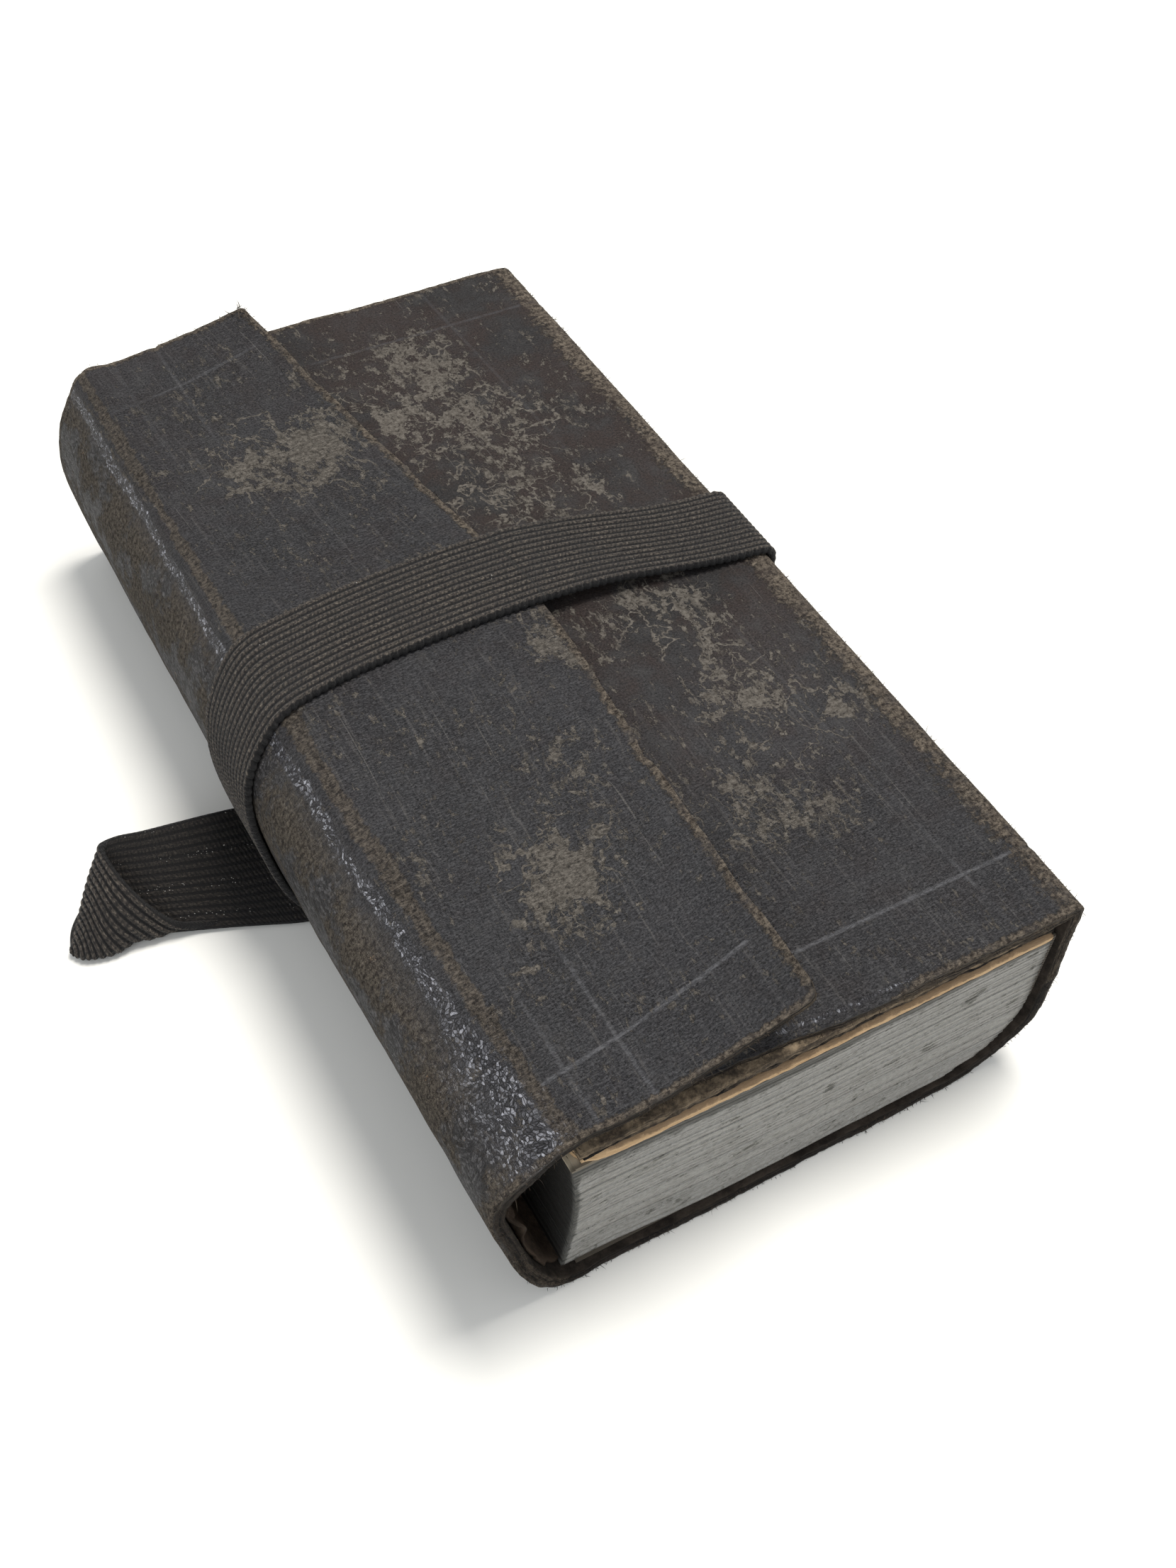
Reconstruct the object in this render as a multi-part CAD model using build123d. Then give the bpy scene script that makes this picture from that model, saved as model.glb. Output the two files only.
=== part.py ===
"""A small sewn prayer book in a leather wallet binding, held shut by an elastic loop.

X runs across the book from the fore edge to the spine, Y along its length, Z up.
The origin is the middle of the footprint, on the surface that the book lies on.
Sections are drawn in book coordinates, whose X = 0 is the middle of the page block.
"""

import os
from math import cos, pi, radians, sin, sqrt

from build123d import *

# Driving dimensions, in millimetres and degrees
LENGTH = 155.0  # of the leather, head to tail
LEATHER = 2.1  # thickness of the hide
SPINE_X = 38.8  # outer face of the spine
COVER_X = -35.5  # fore edge of the top cover
TOP_Z = 35.0  # upper face of the top cover
SPINE_ROUND = 14.0  # outer radius where the spine turns under the book
LOWER_FOLD = 7.0  # outer radius of the fold between bottom and fore-edge wall
UPPER_FOLD = 8.0  # outer radius of the fold between wall and flap
FOLD_X = -34.8  # where the flat of the bottom ends and the lower fold starts
WALL_LEAN = 17.0  # of the fore-edge wall, outwards from upright
JOINT_LEG = 3.2  # how far the corner strip reaches along the cover and the spine

LINING = 0.3  # thickness of the paper linings
SQUARE = 1.2  # how far the leather stands out past the page block at each end
BOARD_SQUARE = 0.6  # the same for the boards of the top cover
CARD = 1.4  # stiff card under the top leather
CARD_BACK = 0.5  # how far the card stops short of the corner strip
TURN_IN = 1.2  # the hide folded in along the edges of the top cover
TURN_IN_WIDTH = 9.0  # how far it reaches in from the edges
FILLER_EASE = 0.2  # air round the card that fills the space inside it
BOARD = 2.0  # pale pasteboard of the top cover
BOARD_BACK = 0.9  # how far the board stops short of the corner strip
PASTEDOWN_BACK = 1.0  # how far the paper inside the cover stops short of the backs
GATHERINGS = 10
FLYLEAF = 0.3
PAPER_GAP = 0.03  # air between neighbouring leaves and linings
GLUE_GAP = 0.01  # the same under the paper inside the bottom
BLOCK_LEFT = -36.0  # fore edge of the page block
BLOCK_RIGHT = 35.9  # folded backs of the gatherings
FORE_EDGE_HOLLOW = 1.2  # how deep the fore edge is hollowed
BACK_GAP = 0.02  # air between the backs and what is sewn to them
TAPE = 0.28  # thickness of the sewing tapes and threads
TAPE_WIDTH = 12.0
TAPE_PLACES = (-45.0, 0.0, 45.0)
THREAD_WIDTH = 0.8
KETTLE_PLACES = (-66.0, 66.0)
CLOTH_GAP = 0.05  # air on both faces of the cloth spine lining

FLAP_GAP = 0.1  # air between the top cover and the flap
FLAP_NEAR_X = -5.0  # free edge of the flap at the near end,
FLAP_POINT_X = 2.5  # at its point,
FLAP_FAR_X = -10.7  # and at the far end
FLAP_POINT_Y = 3.5
FLAP_NEAR_RISE = 8.0  # how far the free edge stands up at the near end,
FLAP_POINT_RISE = 0.3  # at its point,
FLAP_FAR_RISE = 4.0  # and at the far end

ELASTIC_WIDTH = 15.0
ELASTIC = 1.0  # thickness of the knitted elastic
ELASTIC_Y = 3.5  # middle of the elastic, level with the flap's point
ELASTIC_EASE = 0.25  # air between elastic and leather
ELASTIC_LIFT = 0.1  # height of the elastic over the table
SPINE_CORNER = 0.6  # radius on which the elastic turns at the top of the spine
FLAP_CORNER = 1.0  # and at the point of the flap
FLAP_CORNER_RISE = 0.3  # height of that radius's centre over the flap
CHANNEL_EASE = 0.5  # the pressed groove under the book is this much wider, each side
CHANNEL_DEPTH = 1.15
LOOP_WIDTH = 17.0
LOOP_Y = -0.5  # middle of the spare loop
LOOP_END_X = -72.05  # outer end of the spare loop
LOOP_TURN = 4.6  # outer radius of its turn
LOOP_LIFT = 0.15  # height of its lower run over the table
LOOP_CLIMB = 7.0  # rise of its upper run from the book to the turn

FRAME_X = 16.0  # book coordinates to row frame: the loop widens the footprint to one side

# Derived sizes
HALF = LENGTH / 2
WALL_TURN = 90.0 - WALL_LEAN  # turn from the bottom to the wall
FLAP_TURN = 90.0 + WALL_LEAN  # turn from the wall to the flap
WALL_WAY = Vector(-sin(radians(WALL_LEAN)), cos(radians(WALL_LEAN)))  # up along the wall
WALL_IN = Vector(cos(radians(WALL_LEAN)), sin(radians(WALL_LEAN)))  # from its face into the book
LOWER_CENTRE = Vector(FOLD_X, LOWER_FOLD)
WALL_FOOT = LOWER_CENTRE - WALL_IN * LOWER_FOLD
FLAP_TOP = TOP_Z + FLAP_GAP + LEATHER
UPPER_CENTRE_Z = FLAP_TOP - UPPER_FOLD
WALL_LENGTH = (UPPER_CENTRE_Z - UPPER_FOLD * WALL_IN.Y - WALL_FOOT.Y) / WALL_WAY.Y
WALL_HEAD = WALL_FOOT + WALL_WAY * WALL_LENGTH
UPPER_CENTRE = WALL_HEAD + WALL_IN * UPPER_FOLD
SPINE_CENTRE = Vector(SPINE_X - SPINE_ROUND, SPINE_ROUND)

CARD_TOP = TOP_Z - LEATHER
TURN_TOP = CARD_TOP - CARD
BOARD_TOP = TURN_TOP - TURN_IN
PASTEDOWN_TOP = BOARD_TOP - BOARD
BLOCK_TOP = PASTEDOWN_TOP - LINING - PAPER_GAP
BLOCK_BOTTOM = LEATHER + LINING + PAPER_GAP
GATHERING = (BLOCK_TOP - FLYLEAF - PAPER_GAP - BLOCK_BOTTOM) / GATHERINGS

os.makedirs("parts", exist_ok=True)


def save(solid, name):
    export_step(Pos(FRAME_X, 0, 0) * solid, f"parts/{name}.step")


def slab(x0, x1, z0, z1, end=HALF):
    """A flat sheet or board, the same distance from the middle at head and tail."""
    return Pos((x0 + x1) / 2, 0, (z0 + z1) / 2) * Box(x1 - x0, 2 * end, z1 - z0)


def along_y(face, low, high):
    """A section drawn in X and Z, drawn out along Y."""
    return Pos(0, high, 0) * (Rot(90, 0, 0) * extrude(face, high - low))


def polygon(points):
    return make_face(Polyline(*points, close=True))


def bend(centre, outer, thick, start, size):
    """A curved strip of hide: a sector of a ring in the X-Z plane."""
    c = (centre.X, centre.Y)
    rim = CenterArc(c, outer, start, size)
    bore = CenterArc(c, outer - thick, start, size)
    ends = [Line(rim @ 0, bore @ 0), Line(rim @ 1, bore @ 1)]
    return make_face([rim, bore, *ends])


def strip(foot, way, inward, length, near, far):
    """A straight strip beside a line, from near to far behind it."""
    corners = [(0, near), (length, near), (length, far), (0, far)]
    return polygon([foot + way * s + inward * d for s, d in corners])


def fore_edge(z):
    """X of the hollowed fore edge of the page block at a height."""
    share = (z - BLOCK_BOTTOM) / (BLOCK_TOP - BLOCK_BOTTOM)
    return BLOCK_LEFT + FORE_EDGE_HOLLOW * sin(pi * share)


def back_edge(z):
    """X of the gatherings' backs at a height, which follow the round of the spine."""
    inner = SPINE_ROUND - (SPINE_X - BLOCK_RIGHT)
    if z >= SPINE_ROUND:
        return BLOCK_RIGHT
    return SPINE_CENTRE.X + sqrt(inner**2 - min(SPINE_ROUND - z, inner) ** 2)


# Leather panels, each a flat or bent stretch of the one hide
channel = Pos(0, ELASTIC_Y, 0) * Box(
    4 * HALF, ELASTIC_WIDTH + 2 * CHANNEL_EASE, 2 * CHANNEL_DEPTH
)


def bottom_leather():
    return slab(FOLD_X, SPINE_CENTRE.X, 0, LEATHER) - channel


def lower_fold():
    face = bend(LOWER_CENTRE, LOWER_FOLD, LEATHER, 180 + WALL_LEAN, WALL_TURN)
    return along_y(face, -HALF, HALF) - channel


def spine_leather():
    round_part = bend(SPINE_CENTRE, SPINE_ROUND, LEATHER, 270, 90)
    upright = polygon(
        [
            (SPINE_X - LEATHER, SPINE_ROUND),
            (SPINE_X, SPINE_ROUND),
            (SPINE_X, TOP_Z - JOINT_LEG),
            (SPINE_X - LEATHER, TOP_Z - JOINT_LEG),
        ]
    )
    return along_y(round_part + upright, -HALF, HALF) - channel


def cover_joint_leather():
    """The corner of the hide between spine and top cover, which works as the hinge."""
    x, z = SPINE_X, TOP_Z
    corner = [
        (x - JOINT_LEG, z),
        (x, z),
        (x, z - JOINT_LEG),
        (x - LEATHER, z - JOINT_LEG),
        (x - LEATHER, z - LEATHER),
        (x - JOINT_LEG, z - LEATHER),
    ]
    return along_y(polygon(corner), -HALF, HALF)


def wall_leather():
    face = strip(WALL_FOOT, WALL_WAY, WALL_IN, WALL_LENGTH, 0, LEATHER - LINING)
    return along_y(face, -HALF, HALF)


def wall_lining():
    face = strip(WALL_FOOT, WALL_WAY, WALL_IN, WALL_LENGTH, LEATHER - LINING + PAPER_GAP, LEATHER)
    return along_y(face, -HALF + SQUARE, HALF - SQUARE)


def upper_fold():
    face = bend(UPPER_CENTRE, UPPER_FOLD, LEATHER, 90, FLAP_TURN)
    return along_y(face, -HALF, HALF)


def flap_sheet(low, high):
    """A layer of the pointed flap, low and high above its underside. Its free edge
    stands up at both ends and lies down at the point, where the elastic holds it."""
    stations = [
        (-HALF, FLAP_NEAR_X, FLAP_NEAR_RISE),
        (FLAP_POINT_Y, FLAP_POINT_X, FLAP_POINT_RISE),
        (HALF, FLAP_FAR_X, FLAP_FAR_RISE),
    ]
    shares = [0.0, 0.35, 0.7, 1.0]
    sections = []
    for y, end_x, rise in stations:
        root = UPPER_CENTRE.X
        base = FLAP_TOP - LEATHER
        line = [(root + (end_x - root) * s, base + rise * s * s) for s in shares]
        lower = [Vector(x, y, z + low) for x, z in line]
        upper = [Vector(x, y, z + high) for x, z in reversed(line)]
        sections.append(make_face(Polyline(*lower, *upper, close=True)))
    return loft(sections, ruled=True)


# Inside the top cover and the page block
def top_cover():
    """The top cover's layers, from the hide down to the paper pasted inside it."""
    joint_x = SPINE_X - JOINT_LEG
    end = HALF - BOARD_SQUARE
    page_end = HALF - SQUARE
    filler_in = TURN_IN_WIDTH + FILLER_EASE
    turn_top = TURN_TOP - PAPER_GAP
    rim = slab(COVER_X, joint_x, BOARD_TOP, turn_top)
    core = slab(
        COVER_X + TURN_IN_WIDTH, joint_x - TURN_IN_WIDTH, PASTEDOWN_TOP, CARD_TOP, HALF - TURN_IN_WIDTH
    )
    return {
        "top_leather": slab(COVER_X, joint_x, CARD_TOP, TOP_Z),
        "top_card": slab(COVER_X, joint_x - CARD_BACK, TURN_TOP, CARD_TOP - PAPER_GAP, end),
        "leather_turn_in": rim - core,
        "card_filler": slab(
            COVER_X + filler_in, joint_x - filler_in, BOARD_TOP, turn_top, HALF - filler_in
        ),
        "top_board": slab(COVER_X, joint_x - BOARD_BACK, PASTEDOWN_TOP, BOARD_TOP - PAPER_GAP, end),
        "front_pastedown": slab(
            COVER_X,
            BLOCK_RIGHT - PASTEDOWN_BACK,
            PASTEDOWN_TOP - LINING,
            PASTEDOWN_TOP - PAPER_GAP,
            page_end,
        ),
    }


def back_pastedown():
    """The paper pasted inside the bottom."""
    return slab(
        FOLD_X + 1, SPINE_CENTRE.X, LEATHER + GLUE_GAP, LEATHER + LINING, HALF - SQUARE
    )


def gathering(number):
    """One folded section of leaves, counted from the top of the block."""
    high = BLOCK_TOP - FLYLEAF - PAPER_GAP - (number - 1) * GATHERING
    low = high - GATHERING + PAPER_GAP
    middle = (high + low) / 2
    section = [
        (fore_edge(low), low),
        (back_edge(low), low),
        (back_edge(high), high),
        (fore_edge(high), high),
        (fore_edge(middle), middle),
    ]
    return along_y(polygon(section), -HALF + SQUARE, HALF - SQUARE)


def spine_lining():
    """Cloth glued down the backs of the gatherings, from the joint to the round."""
    left = BLOCK_RIGHT + BACK_GAP + TAPE + CLOTH_GAP
    return slab(left, SPINE_X - LEATHER - CLOTH_GAP, SPINE_ROUND, BLOCK_TOP, HALF - SQUARE)


def sewn_strips(width, places):
    """Upright strips on the backs of the gatherings."""
    left = BLOCK_RIGHT + BACK_GAP
    one = slab(left, left + TAPE, SPINE_ROUND, BLOCK_TOP, width / 2)
    return Compound([Pos(0, y, 0) * one for y in places])


def sewing_tapes():
    """Three flat tapes that the gatherings are sewn to."""
    return sewn_strips(TAPE_WIDTH, TAPE_PLACES)


def kettle_stitches():
    """The upright links of thread between gatherings, near head and tail."""
    return sewn_strips(THREAD_WIDTH, KETTLE_PLACES)


# The elastic
def elastic_hull(ease):
    """The outline of elastic stretched round the book at its middle, eased outwards."""
    rounds = [
        (UPPER_CENTRE.X, UPPER_CENTRE.Y, UPPER_FOLD),
        (LOWER_CENTRE.X, LOWER_CENTRE.Y, LOWER_FOLD),
        (SPINE_CENTRE.X, SPINE_CENTRE.Y, SPINE_ROUND),
        (SPINE_X - SPINE_CORNER, TOP_Z - SPINE_CORNER, SPINE_CORNER),
        (FLAP_POINT_X - FLAP_CORNER, FLAP_TOP + FLAP_CORNER_RISE, FLAP_CORNER),
    ]
    edges = [CenterArc((x, z), r + ease, 0, 360) for x, z, r in rounds]
    return make_hull(edges)


def above(height):
    """Everything in the X-Z plane over a height."""
    return Pos(0, height + 4 * HALF) * Rectangle(8 * HALF, 8 * HALF)


def elastic_band():
    outer = elastic_hull(ELASTIC_EASE + ELASTIC) & above(ELASTIC_LIFT)
    inner = elastic_hull(ELASTIC_EASE) & above(ELASTIC_LIFT + ELASTIC)
    half = ELASTIC_WIDTH / 2
    return along_y(outer - inner, ELASTIC_Y - half, ELASTIC_Y + half)


def elastic_loop():
    """The spare length, doubled back on the table beside the fore edge."""
    centre_x = LOOP_END_X + LOOP_TURN
    low, turn, t = LOOP_LIFT, LOOP_TURN, ELASTIC
    high = low + 2 * turn
    drop = high - LOOP_CLIMB
    turn_face = bend(Vector(centre_x, low + turn), turn, t, 90, 180)
    lower_run = polygon([(centre_x, low), (FOLD_X, low), (FOLD_X, low + t), (centre_x, low + t)])
    upper_run = polygon([(centre_x, high), (centre_x, high - t), (FOLD_X, drop - t), (FOLD_X, drop)])
    half = LOOP_WIDTH / 2
    loop = along_y(turn_face + lower_run + upper_run, LOOP_Y - half, LOOP_Y + half)
    book = along_y(elastic_hull(ELASTIC_EASE + ELASTIC), -HALF, HALF)
    return loop - book


PARTS = {
    "bottom_leather": bottom_leather(),
    "lower_fold": lower_fold(),
    "spine_leather": spine_leather(),
    "cover_joint_leather": cover_joint_leather(),
    "wall_leather": wall_leather(),
    "wall_lining": wall_lining(),
    "upper_fold": upper_fold(),
    "flap_leather": flap_sheet(LINING + PAPER_GAP, LEATHER),
    "flap_lining": flap_sheet(0, LINING) & Box(4 * HALF, LENGTH - 2 * SQUARE, 4 * HALF),
    "back_pastedown": back_pastedown(),
    "front_flyleaf": slab(BLOCK_LEFT, BLOCK_RIGHT, BLOCK_TOP - FLYLEAF, BLOCK_TOP, HALF - SQUARE),
    "spine_lining": spine_lining(),
    "sewing_tapes": sewing_tapes(),
    "kettle_stitches": kettle_stitches(),
    "elastic_band": elastic_band(),
    "elastic_loop": elastic_loop(),
    **top_cover(),
    **{f"gathering_{n:02d}": gathering(n) for n in range(1, GATHERINGS + 1)},
}

for node, shape in PARTS.items():
    save(shape, node)
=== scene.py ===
"""Looks of the prayer book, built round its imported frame.

Shapes are drawn in book millimetres: X from the fore edge to the spine with its zero at the
middle of the page block, Y along the length, Z up. place() turns them into the row frame.
"""

import math

import bpy
import numpy as np
from mathutils import Euler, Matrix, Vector


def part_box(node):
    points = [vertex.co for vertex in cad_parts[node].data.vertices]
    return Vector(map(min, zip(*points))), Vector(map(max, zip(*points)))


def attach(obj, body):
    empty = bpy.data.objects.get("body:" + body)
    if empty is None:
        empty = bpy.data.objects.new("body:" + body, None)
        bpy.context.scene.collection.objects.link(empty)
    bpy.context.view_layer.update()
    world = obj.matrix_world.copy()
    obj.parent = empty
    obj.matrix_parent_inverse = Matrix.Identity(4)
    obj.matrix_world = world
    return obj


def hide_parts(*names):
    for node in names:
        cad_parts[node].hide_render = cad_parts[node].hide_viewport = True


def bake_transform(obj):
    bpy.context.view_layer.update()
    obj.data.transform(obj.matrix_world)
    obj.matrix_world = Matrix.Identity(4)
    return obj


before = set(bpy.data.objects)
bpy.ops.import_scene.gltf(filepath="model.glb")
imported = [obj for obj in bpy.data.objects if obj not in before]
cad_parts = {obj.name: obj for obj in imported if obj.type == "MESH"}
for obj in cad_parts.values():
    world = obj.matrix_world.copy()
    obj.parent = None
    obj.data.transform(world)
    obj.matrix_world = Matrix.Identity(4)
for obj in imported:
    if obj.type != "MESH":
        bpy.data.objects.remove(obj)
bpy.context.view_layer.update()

MM = 0.001
SPINE_X = 38.8  # outer face of the spine, which ties book millimetres to the frame
SHIFT_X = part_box("spine_leather")[1].x / MM - SPINE_X
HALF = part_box("top_leather")[1].y / MM
TOP_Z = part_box("top_leather")[1].z / MM
COVER_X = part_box("top_leather")[0].x / MM - SHIFT_X
HIDE = 2.1  # thickness of the leather
SPINE_ROUND = 14.0
CORNER_ROUND = 2.2  # of the hide where the spine turns into the top cover
BOTTOM_END_X = -28.0  # where the flat underside ends and the sections of the left side begin
SEAM_Z = 18.0  # height of the seam between the two drawn lengths of hide on the spine
WALL_SEAM_Z = 16.0  # the same on the fore-edge wall
FLAP_Z = 37.25  # upper face of the flap where the elastic holds it down
FLOOR_EASE = 0.06
TINY = 1e-9

RIBS = 14  # across the elastic
ELASTIC_HALF = 7.5  # half its width at rest
STITCH = 0.66  # length of one knitted stitch
RUBBER_PITCH = 4.3  # between the rubber threads that show on its inner side

NO_STRETCH = (1, 1, 1)
SCALE_SIZE = 0.36  # of the scales that the dye has cracked into
SCALE_STRETCH = (1, 0.62, 1)

# The values of a mesh that the leather material reads, and what they are on a loose fibre
# Among these are a zone of painted glints, a tone whose rise towards the near end is a painted reflection,
# and a raw-edge value that also paints a highlight on the flap's free edge
HIDE_VALUES = ("wear", "wall", "bend", "shine", "tone", "raw", "mark", "line_x", "line_y")
HAIR = {"edge": 0.0, "side": 0.4, **{name: 0.0 for name in HIDE_VALUES}, "raw": 0.6}

rng = np.random.default_rng(11)
LATTICE_SIZE = 48
LATTICE = np.random.default_rng(5).random((LATTICE_SIZE,) * 3)


# Numbers on grids

def noise(x, y, z=0.0, size=1.0, octaves=3):
    """Smooth noise from -1 to 1 whose coarsest lumps are about size across."""
    total, weight, norm = 0.0, 1.0, 0.0
    x, y, z = np.broadcast_arrays(np.asarray(x, float), y, z)
    for octave in range(octaves):
        scale = 2**octave / size
        cells, shares = [], []
        for axis, values in enumerate((x, y, z)):
            v = values * scale + 17.3 * axis + 5.1 * octave
            low = np.floor(v)
            share = v - low
            cells.append(low.astype(int))
            shares.append(share * share * (3 - 2 * share))
        value = 0.0
        for corner in range(8):
            picks, part = [], 1.0
            for axis in range(3):
                step = corner >> axis & 1
                picks.append((cells[axis] + step) % LATTICE_SIZE)
                part = part * (shares[axis] if step else 1 - shares[axis])
            value = value + part * LATTICE[tuple(picks)]
        total = total + weight * (2 * value - 1)
        norm += weight
        weight *= 0.5
    return total / norm


def smooth(value, low, high):
    """0 below low, 1 above high, and a smooth step between."""
    t = np.clip((np.asarray(value, float) - low) / (high - low), 0, 1)
    return t * t * (3 - 2 * t)


def bump(distance, width):
    return np.exp(-((np.asarray(distance, float) / width) ** 2))


def unit(vectors):
    return vectors / (np.linalg.norm(vectors, axis=-1, keepdims=True) + TINY)


def spline(points, count):
    """A smooth curve through points, the first axis running along it: count samples a stretch."""
    p = np.asarray(points, float)
    p = np.concatenate([[2 * p[0] - p[1]], p, [2 * p[-1] - p[-2]]])
    t = np.linspace(0, 1, count, endpoint=False).reshape((-1,) + (1,) * (p.ndim - 1))
    runs = []
    for a, b, c, d in zip(p, p[1:], p[2:], p[3:]):
        square, cube = 2 * a - 5 * b + 4 * c - d, 3 * b - a - 3 * c + d
        runs.append(0.5 * (2 * b + (c - a) * t + square * t**2 + cube * t**3))
    return np.concatenate(runs + [p[-2:-1]])


def lengths(line):
    """Distance from the start at each point of a line or of a fan of lines."""
    steps = np.linalg.norm(np.diff(line, axis=0), axis=-1)
    return np.concatenate([np.zeros((1,) + steps.shape[1:]), np.cumsum(steps, axis=0)])


def resample(line, at, walked=None):
    """Points at the distances along one line."""
    walked = lengths(line) if walked is None else walked
    return np.stack([np.interp(at, walked, line[:, k]) for k in range(line.shape[1])], -1)


def stretches(fan, begins, ends, count):
    """Evenly spaced points on each line of a fan, from one distance along it to another."""
    spans = zip(np.swapaxes(fan, 0, 1), begins, ends)
    return np.stack([resample(line, np.linspace(a, b, count)) for line, a, b in spans], 1)


def respaced(fan, walked, at):
    """The same for a fan whose rows lie at known distances, at new distances."""
    return np.stack([resample(line, at, walked) for line in np.swapaxes(fan, 0, 1)], 1)


def normals_of(x, z):
    """Outward unit normals of sections drawn with the book on their right hand."""
    dx, dz = np.gradient(x, axis=0), np.gradient(z, axis=0)
    size = np.hypot(dx, dz) + TINY
    return -dz / size, dx / size


def place(points):
    """Book millimetres to the row frame's metres."""
    return (np.asarray(points, float) + [SHIFT_X, 0, 0]) * MM


# Meshes

class Piece:
    """Collects points, faces and values for one mesh."""

    def __init__(self, name):
        self.name = name
        self.points, self.faces, self.flat, self.slots = [], [], [], []
        self.values = {}
        self.size = 0

    def add(self, points, faces, values):
        points = np.asarray(points, float).reshape(-1, 3)
        self.points.append(points)
        self.add_faces(faces, self.size)
        for name, value in values.items():
            shape = (len(points), 3) if name == "rest" else (len(points),)
            value = np.broadcast_to(np.asarray(value, float), shape)
            self.values.setdefault(name, []).append(value.reshape(shape))
        self.size += len(points)

    def add_faces(self, faces, first=0, flat=False, slot=0):
        self.faces += [tuple(int(k) + first for k in f) for f in faces]
        self.flat += [flat] * len(faces)
        self.slots += [slot] * len(faces)

    def finish(self, *materials):
        mesh = bpy.data.meshes.new(self.name)
        mesh.from_pydata(place(np.concatenate(self.points)).tolist(), [], self.faces)
        mesh.polygons.foreach_set("use_smooth", [not f for f in self.flat])
        mesh.polygons.foreach_set("material_index", self.slots)
        for name, parts in self.values.items():
            kind, key = ("FLOAT_VECTOR", "vector") if name == "rest" else ("FLOAT", "value")
            layer = mesh.attributes.new(name, kind, "POINT")
            layer.data.foreach_set(key, np.concatenate(parts).astype(np.float32).ravel())
        for material in materials:
            mesh.materials.append(material)
        mesh.update()
        obj = bpy.data.objects.new(self.name, mesh)
        bpy.context.scene.collection.objects.link(obj)
        return obj


# Points over a cut edge: share of the way out from the middle of the thickness, and share of the bulge
RIMS = {1: ((0.0, 1.0),), 4: ((0.93, 0.7), (0.45, 1.0), (-0.45, 1.0), (-0.93, 0.7))}
LIPS = ((0.96, 0.6), (0.86, 1.0))  # the same for the end of a length
THROUGH = 6  # how far the pattern's third coordinate moves from the outer face to the inner


def sheet_solid(piece, outer, inner, values, start="free", end="free", rim=4, bulge=0.1, closed=False):
    """A sheet between two grids of points, rows along it and columns across, with rounded edges.
    Each end is free, with a rounded edge, or a seam that meets the next length."""
    rows, cols = outer.shape[:2]
    mid = (outer + inner) / 2
    thick = np.linalg.norm(outer - inner, axis=-1)

    def edge(col, neighbour):
        way = unit(outer[:, col] - outer[:, neighbour])
        out = bulge * thick[:, col, None]
        up_to = outer[:, col] - mid[:, col]
        return [(mid[:, col] + up_to * up + way * out * off)[:, None] for up, off in RIMS[rim]]

    far, near = edge(-1, -2), edge(0, 1)
    loop = np.concatenate([outer, *far, inner[:, ::-1], *reversed(near)], axis=1)
    source = [*range(cols)] + [cols - 1] * rim + [*range(cols - 1, -1, -1)] + [0] * rim
    steps = [(1 - up) / 2 for up, _ in RIMS[rim]]
    side = [0.0] * cols + steps + [1.0] * cols + steps[::-1]
    centre = mid[:, source]
    ring = len(source)
    grid = {k: np.asarray(v)[:, source] for k, v in values.items()}
    grid["side"] = np.broadcast_to(side, (rows, ring))

    ends = () if closed else ((0, 1, start), (-1, -2, end))
    for at, beyond, kind in ends:
        if kind != "free":
            continue
        way = unit(mid[at] - mid[beyond])[source]
        out = bulge * thick[at, source, None]
        wall = loop[at] - centre[at]
        cap = np.stack([centre[at] + wall * up + way * out * off for up, off in LIPS])
        same = {k: np.repeat(v[at][None], len(cap), 0) for k, v in grid.items()}
        if at == 0:
            loop = np.concatenate([cap[::-1], loop])
            grid = {k: np.concatenate([same[k], v]) for k, v in grid.items()}
        else:
            loop = np.concatenate([loop, cap])
            grid = {k: np.concatenate([v, same[k]]) for k, v in grid.items()}

    total, first = len(loop), piece.size
    index = np.arange(total * ring).reshape(total, ring)
    low = index if closed else index[:-1]
    high = np.roll(index, -1, 0) if closed else index[1:]
    quads = np.stack([low, high, np.roll(high, -1, 1), np.roll(low, -1, 1)], -1).reshape(-1, 4)
    grid["rest"] = grid["rest"] + grid["side"][..., None] * [0, 0, THROUGH]
    flat_values = {k: v.reshape(-1, 3) if k == "rest" else v.reshape(-1) for k, v in grid.items()}
    piece.add(loop, quads.tolist(), flat_values)
    for at, _, kind in ends:
        row = index[at]
        back = 2 * cols + rim - 1
        lids = [(row[j], row[j + 1], row[back - j - 1], row[back - j]) for j in range(cols - 1)]
        lids.append(tuple(row[cols - 1 : cols + rim + 1]))
        lids.append(tuple(row[back:]) + (row[0],))
        piece.add_faces([f[::-1] for f in lids] if at else lids, first, flat=kind != "free")


HAIR_RINGS = ((0.0, 1.0), (0.55, 0.7))  # share of the length, and of the width there


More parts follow.
